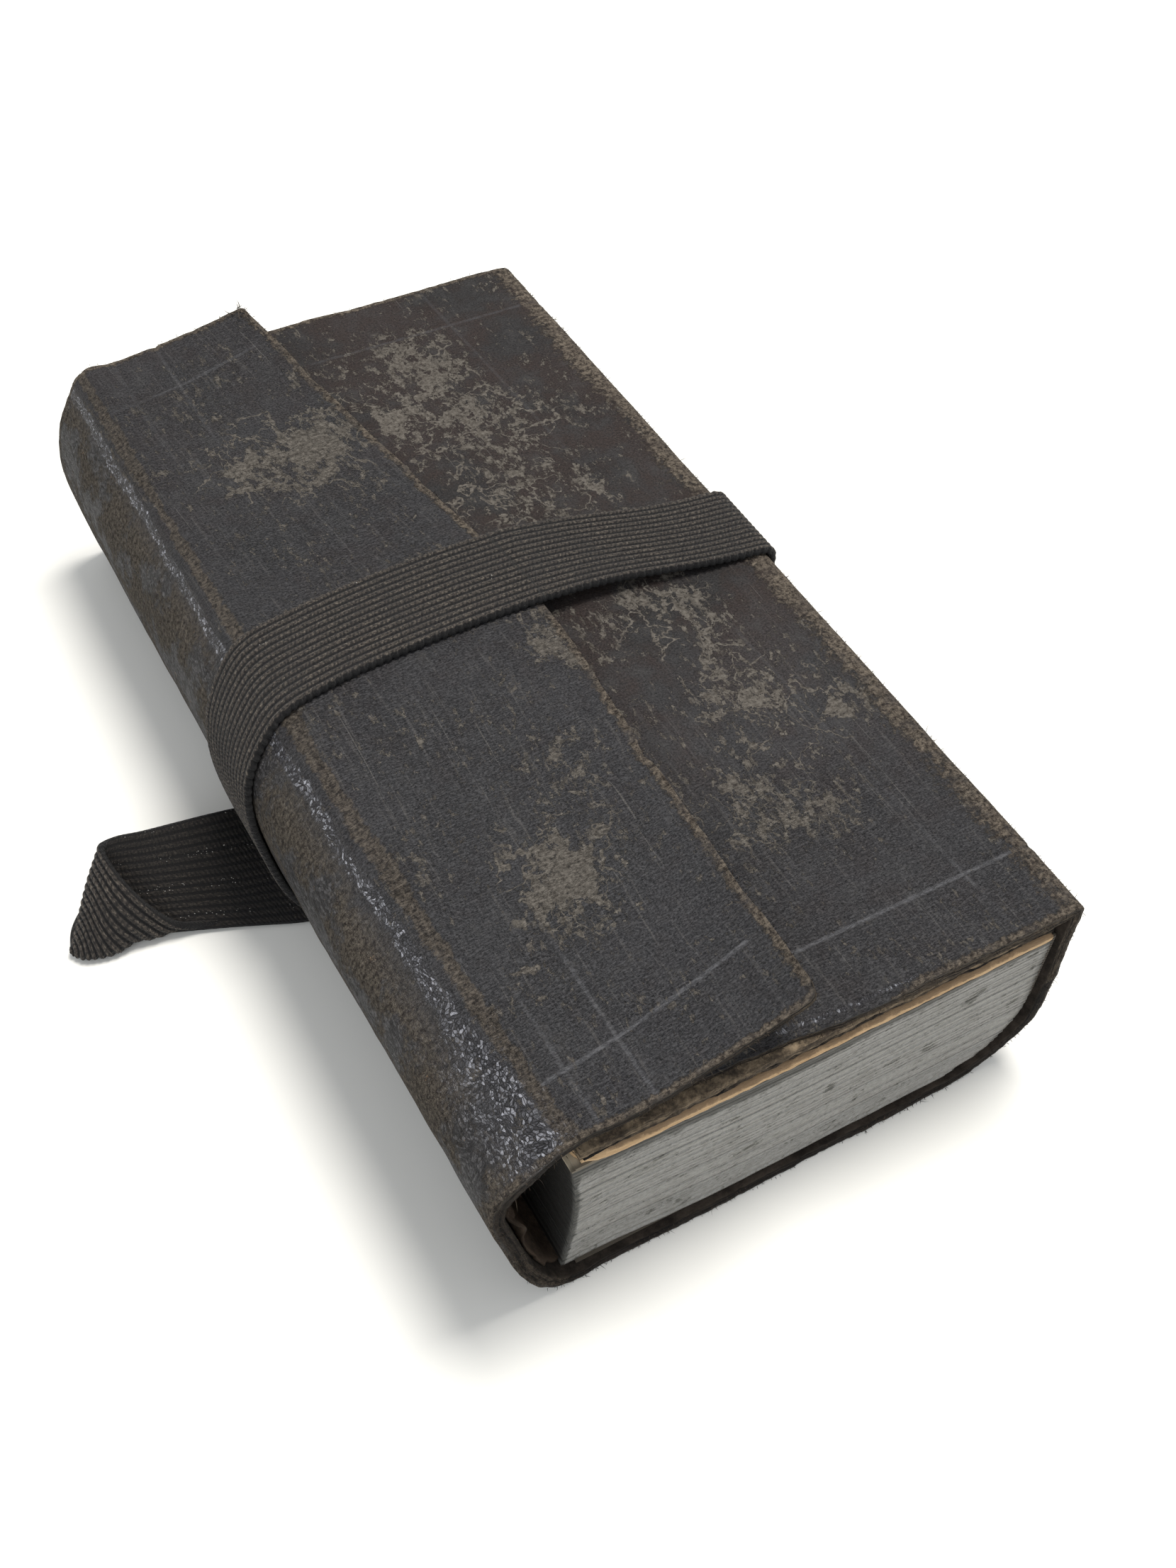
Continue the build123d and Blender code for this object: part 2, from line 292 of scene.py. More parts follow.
def fibres(piece, roots, ways, length, width):
    """Small curled hairs of hide: each is a thin three-sided blade from its root."""
    count = len(roots)
    ways = ways / np.linalg.norm(ways, axis=1, keepdims=True)
    across = np.cross(ways, rng.normal(size=(count, 3)))
    across /= np.linalg.norm(across, axis=1, keepdims=True)
    third = np.cross(ways, across)
    length = (length * rng.uniform(0.4, 1.5, count))[:, None]
    curl = across * rng.normal(0, 0.35, (count, 1)) + third * rng.normal(0, 0.35, (count, 1))
    ring = []
    for share, wide in HAIR_RINGS:
        centre = roots + ways * length * share + curl * length * share**2
        for k in range(3):
            a = 2 * math.pi * k / 3
            ring.append(centre + width * wide * (across * math.cos(a) + third * math.sin(a)))
    tip = roots + ways * length + curl * length
    tip[:, 2] = np.maximum(tip[:, 2], FLOOR_EASE)
    points = np.stack([*ring, tip], 1)
    points[:, :, 2] = np.maximum(points[:, :, 2], FLOOR_EASE / 2)
    blade = []
    for k, n in ((0, 1), (1, 2), (2, 0)):
        blade += [(k, n, 3 + n, 3 + k), (3 + k, 3 + n, 6)]
    blade.append((2, 1, 0))
    faces = [tuple(7 * f + k for k in face) for f in range(count) for face in blade]
    piece.add(points, faces, {**HAIR, "rest": np.repeat(roots, 7, 0)})


def random_sizes(count, length):
    """Lengths of fibres, a few of which are more than twice as long."""
    return np.where(rng.random(count) > 0.93, 2.2, 1.0) * length


# Materials

class Value:
    """A value in a material's graph: arithmetic on it adds math nodes."""

    def __init__(self, graph, socket):
        self.graph, self.socket = graph, socket

    def math(self, kind, *others):
        return self.graph.node("ShaderNodeMath", (self, *others), operation=kind)

    def __add__(self, other):
        return self.math("ADD", other)

    def __sub__(self, other):
        return self.math("SUBTRACT", other)

    def __mul__(self, other):
        return self.math("MULTIPLY", other)

    def size(self):
        return self.math("ABSOLUTE")

    def step(self, low, high, to_low=0.0, to_high=1.0):
        """A smooth step from to_low below low to to_high above high."""
        inputs = (self, low, high, to_low, to_high)
        return self.graph.node("ShaderNodeMapRange", inputs, interpolation_type="SMOOTHSTEP")

    def ramp(self, low, high, dark, light):
        """A colour that changes smoothly as the value goes from low to high."""
        return self.graph.mix(self.step(low, high), dark, light)


def highest(first, *others):
    """The greatest of a few values."""
    for other in others:
        first = first.math("MAXIMUM", other)
    return first


class Graph:
    """One procedural material: its nodes, and the colour painted so far."""

    def __init__(self, name):
        self.material = bpy.data.materials.new(name)
        self.material.use_nodes = True
        self.tree = self.material.node_tree
        self.shader = self.tree.nodes["Principled BSDF"]
        self.color = None

    def link(self, value, socket):
        if isinstance(value, Value):
            self.tree.links.new(value.socket, socket)
        elif isinstance(value, tuple) and len(socket.default_value) == 4:
            socket.default_value = (*value, 1.0)
        else:
            socket.default_value = value

    def node(self, kind, inputs, output=0, **settings):
        """A new node. Its inputs are given in order, or by name or number in a dictionary."""
        node = self.tree.nodes.new(kind)
        for name, value in settings.items():
            setattr(node, name, value)
        for key, value in (inputs if isinstance(inputs, dict) else dict(enumerate(inputs))).items():
            self.link(value, node.inputs[key])
        return Value(self, node.outputs[output])

    def attribute(self, name, output="Fac"):
        return self.node("ShaderNodeAttribute", (), output, attribute_name=name)

    def scaled(self, vector, scale):
        return self.node("ShaderNodeVectorMath", (vector, scale), operation="MULTIPLY")

    def turned(self, vector, angle):
        """The coordinates turned a little about Y."""
        inputs = {"Vector": vector, "Angle": angle}
        return self.node("ShaderNodeVectorRotate", inputs, rotation_type="Y_AXIS")

    def noise(self, vector, size, detail=4.0, rough=0.55, stretch=NO_STRETCH, distortion=0.0):
        inputs = {"Vector": self.scaled(vector, stretch), "Scale": 1 / size, "Detail": detail,
                  "Roughness": rough, "Distortion": distortion}
        return self.node("ShaderNodeTexNoise", inputs, "Fac")

    def cells(self, vector, size, stretch=NO_STRETCH, feature="F1", output="Distance"):
        inputs = {"Vector": self.scaled(vector, stretch), "Scale": 1 / size}
        return self.node("ShaderNodeTexVoronoi", inputs, output, feature=feature)

    def mix(self, share, a, b):
        return self.node("ShaderNodeMix", {0: share, 6: a, 7: b}, 2, data_type="RGBA")

    def paint(self, share, color):
        """Lays a colour over what is painted so far."""
        self.color = self.mix(share, self.color, color)

    def warped(self, vector, reach, size):
        """The coordinates pushed about by up to reach, so that patterns on them wander."""
        inputs = {"Vector": vector, "Scale": 1 / size, "Detail": 4.0}
        push = self.scaled(self.node("ShaderNodeTexNoise", inputs, "Color"), (reach, reach, reach))
        return self.node("ShaderNodeVectorMath", (vector, push))

    def split(self, vector):
        return [self.node("ShaderNodeSeparateXYZ", (vector,), axis) for axis in range(3)]

    def object_mm(self):
        place_in_object = self.node("ShaderNodeTexCoord", (), "Object")
        return self.scaled(place_in_object, (1 / MM, 1 / MM, 1 / MM))

    def finish(self, rough, height=None, depth=0.1, specular=0.5, sheen=0.0):
        self.link(self.color, self.shader.inputs["Base Color"])
        self.link(rough, self.shader.inputs["Roughness"])
        self.shader.inputs["Specular IOR Level"].default_value = specular
        self.shader.inputs["Sheen Weight"].default_value = sheen
        if height is not None:
            inputs = {"Strength": 1.0, "Distance": depth * MM, "Height": height}
            self.link(self.node("ShaderNodeBump", inputs), self.shader.inputs["Normal"])
        return self.material


def leather():
    """Near-black calf: scuffs, rubbed folds and crumbly cut edges, with painted highlights and a painted
    reflection, told apart by the mesh's values.
    """
    g = Graph("leather")
    rest = g.attribute("rest", "Vector")
    edge, side = g.attribute("edge"), g.attribute("side")
    wear, wall, bend, shine, tone, raw, mark, line_x, line_y = map(g.attribute, HIDE_VALUES)
    line_x, line_y = (line.size().step(0.12, 0.42, 1, 0) for line in (line_x, line_y))
    outside = side.step(0.1, 0.3, 1, 0)
    bent = g.warped(rest, 4.0, 6.0)

    cloud = g.noise(rest, 4.5, 7, 0.68)
    streak = g.noise(rest, 0.6, 4, 0.7, (1, 0.03, 1))
    dash = g.noise(rest, 0.55, 3, 0.6, (0.42, 1.5, 1))
    grain = g.noise(rest, 0.32, 4, 0.8)
    dust = g.noise(rest, 0.7, 5, 0.8)
    grit = g.noise(rest, 1.3, 7, 0.78)
    where = g.noise(rest, 14, 3, 0.5)

    # dyed surface: grey where the tone is high, black or russet elsewhere, with streaks, scratches and pores;
    # the tone's rise towards the near end is a painted reflection
    grained = grain.step(0.3, 0.7)
    grey = g.mix(grained, (0.007, 0.007, 0.0080), (0.058, 0.057, 0.0605))
    black = g.mix(grained, (0.0045, 0.0042, 0.0045), (0.028, 0.0255, 0.025))
    russet = g.mix(grained, (0.006, 0.004, 0.0035), (0.038, 0.027, 0.024))
    mottle = g.noise(rest, 18, 6, 0.65)
    dark = mottle.ramp(0.45, 0.62, russet, black)
    g.color = g.mix(tone + cloud.step(0.3, 0.7, -0.2, 0.2), dark, grey)
    g.paint(cloud.step(0.52, 0.72, 0, 0.35), (0.050, 0.046, 0.043))
    g.paint(streak.step(0.54, 0.70, 0, 0.6) * outside * tone, (0.085, 0.080, 0.077))
    g.paint(streak.step(0.30, 0.40, 0.45, 0) * outside * tone, (0.009, 0.009, 0.010))
    scratch = g.noise(rest, 0.35, 2, 0.5, (1, 0.012, 1))
    g.paint(scratch.step(0.69, 0.74, 0, 0.7) * outside, (0.10, 0.094, 0.088))
    pore = g.noise(rest, 0.5, 2, 0.5, (0.8, 1.3, 1))
    g.paint(pore.step(0.30, 0.36, 0.75, 0), (0.005, 0.005, 0.005))

    # scuffs down to the taupe skin: patches, chips, flecks and fine cracks
    patch = (g.noise(bent, 7.0, 10, 0.66) + wear * 0.19).step(0.665, 0.68)
    patch = patch * dust.step(0.38, 0.42, 0.25, 1)
    small = g.noise(rest, 1.9, 7, 0.74, (1, 0.65, 1))
    chips = (small + wear * 0.13 + where * 0.32).step(0.768, 0.778)
    tiny = g.noise(rest, 1.2, 6, 0.75, (1, 0.4, 1))
    fleck = (tiny + where * 0.30 + wear * 0.06).step(0.744, 0.756)
    ridge = (g.noise(bent, 13, 4, 0.5) - 0.5).size()
    twig = (g.noise(bent, 8, 4, 0.5, (1, 1, 1.5)) - 0.47).size()
    vein = highest(ridge.step(0.005, 0.009, 1, 0), twig.step(0.004, 0.007, 1, 0))
    vein = vein * (wear + cloud * 0.9).step(0.62, 0.72) * dust.step(0.36, 0.42)
    scuff = highest(highest(patch, chips), highest(fleck * 0.75, vein)) * outside
    taupe = dust.ramp(0.32, 0.68, (0.042, 0.036, 0.030), (0.142, 0.128, 0.111))
    g.paint(scuff * 0.92, taupe)
    tooled = mark * highest(line_x * 0.6, line_y) * grit.step(0.36, 0.56, 0.15, 0.62)
    g.paint(tooled, (0.105, 0.105, 0.112))

    # the fore-edge wall: scales of cracked dye, gravelly patches, pits and pale spots
    scale = g.split(g.cells(bent, SCALE_SIZE, SCALE_STRETCH, output="Color"))[0]
    rift = g.cells(bent, SCALE_SIZE, SCALE_STRETCH, "DISTANCE_TO_EDGE")
    plate = g.mix(scale.math("POWER", 1.7), (0.018, 0.017, 0.018), (0.135, 0.130, 0.134))
    g.paint(wall * 0.75, g.mix(rift.step(0, 0.12, 0.6, 0), plate, (0.012, 0.011, 0.011)))
    zone = (g.noise(rest, 11, 5, 0.62) + grit * 0.35).step(0.60, 0.72)
    gravel = dust.ramp(0.36, 0.64, (0.020, 0.015, 0.012), (0.140, 0.119, 0.094))
    g.paint(wall * zone * 0.92, gravel)
    g.paint(wall * g.noise(rest, 0.9, 3, 0.6).step(0.30, 0.35, 0.9, 0), (0.008, 0.007, 0.007))
    spots = wall * (g.noise(rest, 2.4, 6, 0.75) + where * 0.25).step(0.79, 0.81)
    g.paint(spots * 0.75, g.mix(dust, (0.16, 0.10, 0.06), (0.42, 0.28, 0.17)))

    # the fold: rubbed brown, and polished smoother, with painted highlights glinting on its scales
    rub = (bend * 0.8 + grit * 1.3 + where * 0.6).step(1.30, 1.48)
    g.paint(rub * 0.85, dust.ramp(0.38, 0.62, (0.014, 0.011, 0.009), (0.096, 0.080, 0.064)))
    glints = (shine + grit * 1.2 + where * 0.6).step(1.18, 1.62) * rift.step(0.02, 0.14)
    g.paint(glints * 0.8, g.mix(scale.math("POWER", 3.2), (0.045, 0.044, 0.049), (0.42, 0.425, 0.47)))

    # edges worn brown, the layered cut through the hide, and its flesh side; the crumbly brown of the cut is
    # strongest on the flap's free edge, which faces the light, and is partly a painted highlight there
    worn = (edge + grit * 3.0).step(1.95, 2.45, 1, 0) * outside * cloud.step(0.36, 0.54, 0.45, 1)
    g.paint(worn, dust.ramp(0.38, 0.62, (0.024, 0.019, 0.016), (0.148, 0.123, 0.097)))
    strata = g.noise(rest, 0.9, 4, 0.7, (0.35, 0.35, 1))
    along, across, _ = g.split(rest)
    cut = g.node("ShaderNodeCombineXYZ", (side * 5.5, along * 0.12, across * 0.12))
    layered = g.noise(cut, 1.0, 4, 0.6)
    ends = layered.ramp(0.40, 0.60, (0.006, 0.005, 0.005), (0.030, 0.024, 0.021))
    crumb = dust.ramp(0.35, 0.65, (0.030, 0.022, 0.017), (0.170, 0.135, 0.098))
    g.paint(side.step(0.10, 0.34), g.mix(raw * (strata + layered * 0.7).step(0.70, 0.95), ends, crumb))
    flesh = cloud.ramp(0.35, 0.7, (0.014, 0.011, 0.009), (0.058, 0.046, 0.037))
    g.paint(side.step(0.90, 0.99), flesh)

    cut_face = side.step(0.1, 0.4)
    dull = highest(highest(scuff, worn), highest(wall * zone, cut_face))
    rough = dull.step(0, 1, 0.46, 0.93) + cloud * 0.16 - glints * 0.3
    height = (
        grain * 0.6
        + streak * outside * 0.6
        + dash.step(0.42, 0.62) * where.step(0.35, 0.6) * outside * 0.4
        + dash.step(0.46, 0.60) * tone.step(0.5, 0.8) * outside * 0.7
        + rift.step(0, 0.2) * highest(wall, shine) * 1.1
        + scuff * -0.5
        + grit * (wall * 1.4 + worn * 1.7 + cut_face * 2.5 + 0.3)
    )
    return g.finish(rough, height, 0.17, specular=0.15)


def elastic():
    """Ribbed knit: ribs along the strip, slanted stitches on each and pale rubber flecks inside."""
    g = Graph("elastic")
    rest = g.attribute("rest", "Vector")
    rib, side = g.attribute("rib"), g.attribute("side")
    along, across, _ = g.split(rest)
    number = ((across + ELASTIC_HALF) * (RIBS / (2 * ELASTIC_HALF))).math("FLOOR")
    shift = ((number * 12.9898).math("SINE") * 43.7).math("FRACT") * 6.3
    slant = along * (2 * math.pi / STITCH) + across * 3.0 + shift + g.noise(rest, 1.0, 3, 0.6) * 9.0
    stitch = slant.math("SINE")
    yarn = g.noise(rest, 0.3, 4, 0.8, (0.6, 1, 1))
    shade = g.noise(rest, 8, 4)
    g.color = stitch.ramp(-0.9, 0.8, (0.018, 0.0150, 0.0132), (0.050, 0.041, 0.0345))
    g.paint(yarn.step(0.50, 0.66, 0, 0.85), (0.195, 0.165, 0.132))
    g.paint(yarn.step(0.34, 0.46, 0.8, 0), (0.008, 0.007, 0.007))
    # painted shade: the grooves between the ribs are near black
    g.paint(rib.step(0.42, 0.82, 0.97, 0), (0.0045, 0.004, 0.0045))
    g.paint(shade.step(0.3, 0.7, 0.35, 0), (0.015, 0.0145, 0.0155))
    inner = side.step(0.6, 0.9)
    g.paint(inner * 0.65, (0.007, 0.0062, 0.0063))
    row = (across * (2 * math.pi / RUBBER_PITCH)).math("SINE").step(0.6, 0.9)
    fleck = g.cells(rest, 0.5, (1.0, 1.6, 1.0)).step(0.12, 0.2, 1, 0)
    fleck = fleck * (row * inner + g.noise(rest, 3.0, 3).step(0.66, 0.72))
    fleck = fleck * g.noise(rest, 6, 2).step(0.42, 0.55)
    g.paint(fleck, (0.50, 0.48, 0.45))
    height = stitch.step(-1, 1) * 0.8 + yarn * 1.6
    return g.finish(fleck.step(0, 1, 0.86, 0.4), height, 0.18, specular=0.25, sheen=0.06)


def page_edges():
    """Cut edges of the leaves, sprinkled grey, with dirt near the top and the fore edge, and painted shade
    that makes the fore edge, in the hollow under the wall, near black.
    """
    g = Graph("page_edges")
    rest = g.attribute("rest", "Vector")
    grime_and_shade = g.attribute("grime_and_shade")
    turned = g.turned(rest, math.radians(14))
    leaf = g.noise(turned, 0.26, 4, 0.72, (0.38, 0.38, 1.0))
    smear = g.noise(rest, 7, 6, 0.68, (1, 1, 1.6))
    speck = g.noise(turned, 0.8, 6, 0.78, (0.55, 0.55, 1.3))
    dab = g.noise(turned, 2.6, 6, 0.75, (0.7, 0.7, 1.4))
    g.color = leaf.ramp(0.32, 0.68, (0.212, 0.206, 0.190), (0.318, 0.310, 0.292))
    g.paint(smear.step(0.45, 0.75, 0, 0.5), (0.165, 0.160, 0.140))
    g.paint(speck.step(0.55, 0.66, 0, 0.75), (0.092, 0.088, 0.077))
    g.paint((dab + smear * 0.35).step(0.76, 0.83, 0, 0.8), (0.062, 0.060, 0.050))
    # darker with dirt near the top and the fore edge; on the fore edge itself, in the hollow under the wall,
    # this and the next line paint shade near black
    g.paint((grime_and_shade + speck * 0.7 + smear * 0.3).step(0.78, 1.05) * 0.85, (0.045, 0.044, 0.038))
    g.paint(grime_and_shade.step(1.2, 1.8, 0, 0.8), (0.030, 0.028, 0.026))
    return g.finish(speck.step(0.3, 0.8, 0.5, 0.75), leaf * 0.5 + speck * 1.3, 0.10, specular=0.35)


def paper(name, light, dark, spot, from_mesh=False):
    """Aged paper: cloudy toning, brown spots, and edges darkened by use."""
    g = Graph(name)
    rest = g.attribute("rest", "Vector") if from_mesh else g.object_mm()
    cloud = g.noise(rest, 26, 5, 0.6)
    fibre = g.noise(rest, 0.7, 4, 0.7, (1, 0.35, 1))
    g.color = cloud.ramp(0.3, 0.7, dark, light)
    g.paint(fibre.step(0.4, 0.75, 0, 0.25), dark)
    g.paint(g.noise(rest, 3.1, 5, 0.6).step(0.68, 0.76) * 0.55, spot)
    if from_mesh:
        g.paint(g.attribute("edge").step(0, 7.0, 0.6, 0), spot)
    else:
        near_end = g.split(rest)[1].size() + fibre * 0.8
        g.paint(near_end.step(HALF - 2.0, HALF - 1.0, 0, 0.8), (0.075, 0.062, 0.048))
    return g.finish(cloud.step(0.2, 0.8, 0.8, 0.92), fibre, 0.05, specular=0.25)


def board_stuff(name, light, dark, dirt, amount=0.5):
    """Card or pasteboard: pulpy layers on its cut edge, dirt in the hollows."""
    g = Graph(name)
    rest = g.attribute("rest", "Vector")
    ply = g.noise(rest, 0.35, 4, 0.7, (0.08, 0.08, 1))
    pulp = g.noise(rest, 0.8, 6, 0.75)
    blotch = g.noise(rest, 5.5, 6, 0.7)
    g.color = ply.ramp(0.3, 0.7, dark, light)
    g.paint((blotch * 0.7 + pulp * 0.5 + g.attribute("grime_and_shade")).step(0.68, 0.9) * amount, dirt)
    g.paint(pulp.step(0.62, 0.72, 0, 0.7), dirt)
    return g.finish(0.9, ply + pulp * 1.3, 0.28, specular=0.2)


def weave(name, light, dark, pitch):
    """Plain-woven cloth or tape, from crossed sines in the object's own millimetres."""
    g = Graph(name)
    rest = g.object_mm()
    warp, weft = ((axis * (2 * math.pi / pitch)).math("SINE") for axis in g.split(rest)[1:])
    cross = warp * weft
    g.color = cross.ramp(-0.6, 0.6, dark, light)
    g.paint(g.noise(rest, 7, 4, 0.6).step(0.45, 0.75, 0, 0.5), dark)
    return g.finish(0.9, cross, 0.08, specular=0.2, sheen=0.1)


def floor_stuff():
    g = Graph("floor")
    vein = g.noise(g.object_mm(), 160, 5, 0.6, distortion=1.0)
    g.color = vein.ramp(0.45, 0.7, (0.80, 0.79, 0.755), (0.765, 0.755, 0.72))
    return g.finish(0.5, specular=0.3)


LEATHER = leather()
ELASTIC = elastic()
PAGE_EDGES = page_edges()
PAGE = paper("page_paper", (0.60, 0.53, 0.40), (0.47, 0.39, 0.27), (0.30, 0.20, 0.11), from_mesh=True)
ENDPAPER = paper("endpaper", (0.58, 0.52, 0.41), (0.44, 0.37, 0.27), (0.27, 0.18, 0.11))
# painted shade: the back pastedown is near black because the strip of it seen at the near end lies in the
# shadow between the block and the leather
BACK_PAPER_IN_SHADE = paper("back_paper_painted_shade", (0.085, 0.078, 0.066), (0.055, 0.049, 0.041), (0.03, 0.025, 0.02))
FILLER = paper("filler_card", (0.26, 0.23, 0.19), (0.17, 0.15, 0.12), (0.10, 0.08, 0.06))
LINING = board_stuff("lining", (0.15, 0.105, 0.072), (0.075, 0.052, 0.037), (0.022, 0.017, 0.014))
CARD = board_stuff("grey_card", (0.34, 0.255, 0.165), (0.050, 0.039, 0.030), (0.014, 0.011, 0.010), 0.75)
BOARD = board_stuff("pasteboard", (0.66, 0.46, 0.27), (0.50, 0.33, 0.18), (0.15, 0.10, 0.062), 0.75)
CLOTH = weave("cloth", (0.13, 0.11, 0.085), (0.06, 0.05, 0.04), 0.55)
THREAD = weave("thread", (0.62, 0.56, 0.44), (0.36, 0.30, 0.22), 0.3)


# The hide: one sheet drawn in three lengths that meet at seams on the spine and on the wall

# Sections of its left side at the near end, under the elastic and at the far end, from the flat
# of the bottom up the fore-edge wall to the fold; the flap goes on from the last point.
SECTION_Y = (-HALF, 3.5, HALF)
LEFT = [
    [(BOTTOM_END_X, 0), (-34.4, 0.1), (-39.0, 2.5), (-42.5, 9.0), (-45.2, 18.5), (-47.3, 26.6),
     (-46.2, 31.4), (-41.4, 35.3), (-35.6, 37.2)],
    [(BOTTOM_END_X, 0), (-34.4, 0.1), (-39.2, 2.1), (-42.6, 8.0), (-44.9, 16.2), (-46.0, 24.0),
     (-45.0, 30.0), (-41.4, 35.2), (-37.9, FLAP_Z)],
    [(BOTTOM_END_X, 0), (-34.4, 0.1), (-38.7, 2.0), (-41.6, 7.4), (-43.3, 14.2), (-44.0, 21.0),
     (-43.2, 27.4), (-41.0, 33.0), (-38.0, 37.2)],
]
FLAP_EDGE = ((-5.0, 45.1), (2.6, FLAP_Z + 0.1), (-10.7, 41.1))  # x and z at the same three sections
FLAP_SHARES = (0.17, 0.34, 0.5, 0.67, 0.84, 1.0)
NICKS = ((-32.5, 1.1, 2.2), (-60.0, 0.5, 3.0), (30.0, 0.4, 2.5), (58.0, 0.5, 4.0))  # y, depth, width


def between(y, near, middle, far):
    """A value that is given at three sections, at any y between them."""
    a, b, c = SECTION_Y
    wa = (y - b) * (y - c) / ((a - b) * (a - c))
    wb = (y - a) * (y - c) / ((b - a) * (b - c))
    wc = (y - a) * (y - b) / ((c - a) * (c - b))
    return near * wa + middle * wb + far * wc


def free_edge_x(y):
    """X of the flap's free edge: two nearly straight runs that meet at its point, with nicks."""
    straight = np.interp(y, SECTION_Y, [x for x, _ in FLAP_EDGE])
    rounded = straight - 1.0 * bump(y - SECTION_Y[1], 9)
    ragged = 0.16 * noise(y, 3.0, 0, 1.6, 3) + 0.3 * noise(y, 9.0, 0, 11, 2)
    nick = sum(depth * bump(y - at, wide) for at, depth, wide in NICKS)
    return rounded + ragged - nick * (0.6 + 0.4 * noise(y, 0.5, 0, 0.8, 2))


def left_sections(y):
    """Dense section lines of the hide's left side for each y: (points along, y, x and z)."""
    y = np.asarray(y, float)
    controls = []
    for near, middle, far in zip(*LEFT):
        pair = [between(y, near[k], middle[k], far[k]) for k in (0, 1)]
        controls.append(np.stack(pair, -1))
    root = controls[-1]
    edge_z = between(y, *(z for _, z in FLAP_EDGE))
    edge_x = free_edge_x(y)
    for share in FLAP_SHARES:
        x = root[:, 0] + (edge_x - root[:, 0]) * share
        z = root[:, 1] + (edge_z - root[:, 1]) * share**2
        controls.append(np.stack([x, z], -1))
    return spline(np.stack(controls), 36)


def seam_distance(line):
    """Where a section of the left side passes the height of the wall seam."""
    walked = lengths(line)
    over = int(np.argmax(line[:, 1] > WALL_SEAM_Z))
    share = (WALL_SEAM_Z - line[over - 1, 1]) / (line[over, 1] - line[over - 1, 1])
    return walked[over - 1] + share * (walked[over] - walked[over - 1])


def seam_distances(sections):
    return [seam_distance(line) for line in np.swapaxes(sections, 0, 1)]


def fray(s, y_sign):
    """How far the cut edge at head or tail stands back from the full length, along the hide."""
    base = 0.25 + 0.22 * noise(s, 4 * y_sign, 2.0, 1.1, 3) + 0.3 * noise(s, 7 * y_sign, 5.0, 9, 2)
    return np.maximum(base, 0.02)


def hide_rows(s, count, extra_near=0.0):
    """Y of each column for every row, between the frayed edges and closer together beside them."""
    near = -HALF + fray(s, -1) + extra_near
    far = HALF - fray(s, 1)
    share = np.concatenate([[0, 0.0007], np.linspace(0.003, 0.997, count - 4), [0.9993, 1]])
    return near[:, None] + (far - near)[:, None] * share


def hide_values(s, y, edge, **named):
    """The values that the leather material reads, on one grid."""
    zero = np.zeros_like(y)
    values = {"rest": np.stack([s + zero, y, zero], -1), "edge": edge + zero}
    return {**values, **{name: named.get(name, 0.0) + zero for name in HIDE_VALUES}}


def from_ends(y):
    """Distance from the nearer frayed edge."""
    return np.minimum(y - y[:, :1], y[:, -1:] - y)


def near_elastic(y):
    """1 under the elastic, where it holds the hide smooth."""
    return bump(y - 2, 12)


def shifted(x, y, z, nx, nz, by):
    """The grid of a surface moved along the normals of its sections."""
    return np.stack([x + nx * by, y, z + nz * by], -1)


def blobs(x, y, spots):
    """Soft patches of heavier wear: centre, half sizes and weight of each."""
    total = 0.0
    for cx, cy, rx, ry, weight in spots:
        total = total + weight * np.exp(-(((x - cx) / rx) ** 2 + ((y - cy) / ry) ** 2))
    return total


COLUMNS = 250
SPINE_TONE = 0.6
COVER_WEAR = (
    (4, 50, 10, 10, 0.85), (17, 38, 9, 8, 0.85), (14, 60, 7, 8, 0.5), (8, 26, 9, 7, 0.6),
    (18, 18, 9, 5, 0.45), (18, -9, 8, 8, 0.75), (20, -30, 9, 10, 0.6), (10, -45, 8, 8, 0.6),
    (30, -34, 6, 6, 0.35),
)
FLAP_WEAR = (
    (-16, 45, 13, 8.5, 1.05), (-21, -44, 6, 9, 0.8), (-1, -7, 4, 8, 0.7), (-12, -20, 6, 12, 0.2),
    (-10, -38, 6, 10, 0.2),
)
TOOLED_COVER = 11.3  # the blind lines on the cover lie this far in from the end
TOOLED_SPINE_X = 26.0
TOOLED_FLAP_Y = (-67.5, 67.0)
TOOLED_FLAP_X = -25.8
FOLD_LINE_X = -33.2  # a third line runs beside the fold


def line_mark(distance, width=0.45):
    """A shallow pressed line with slightly raised banks."""
    d = np.abs(distance)
    return bump(d, width) - 0.3 * bump(d - 2.2 * width, width)


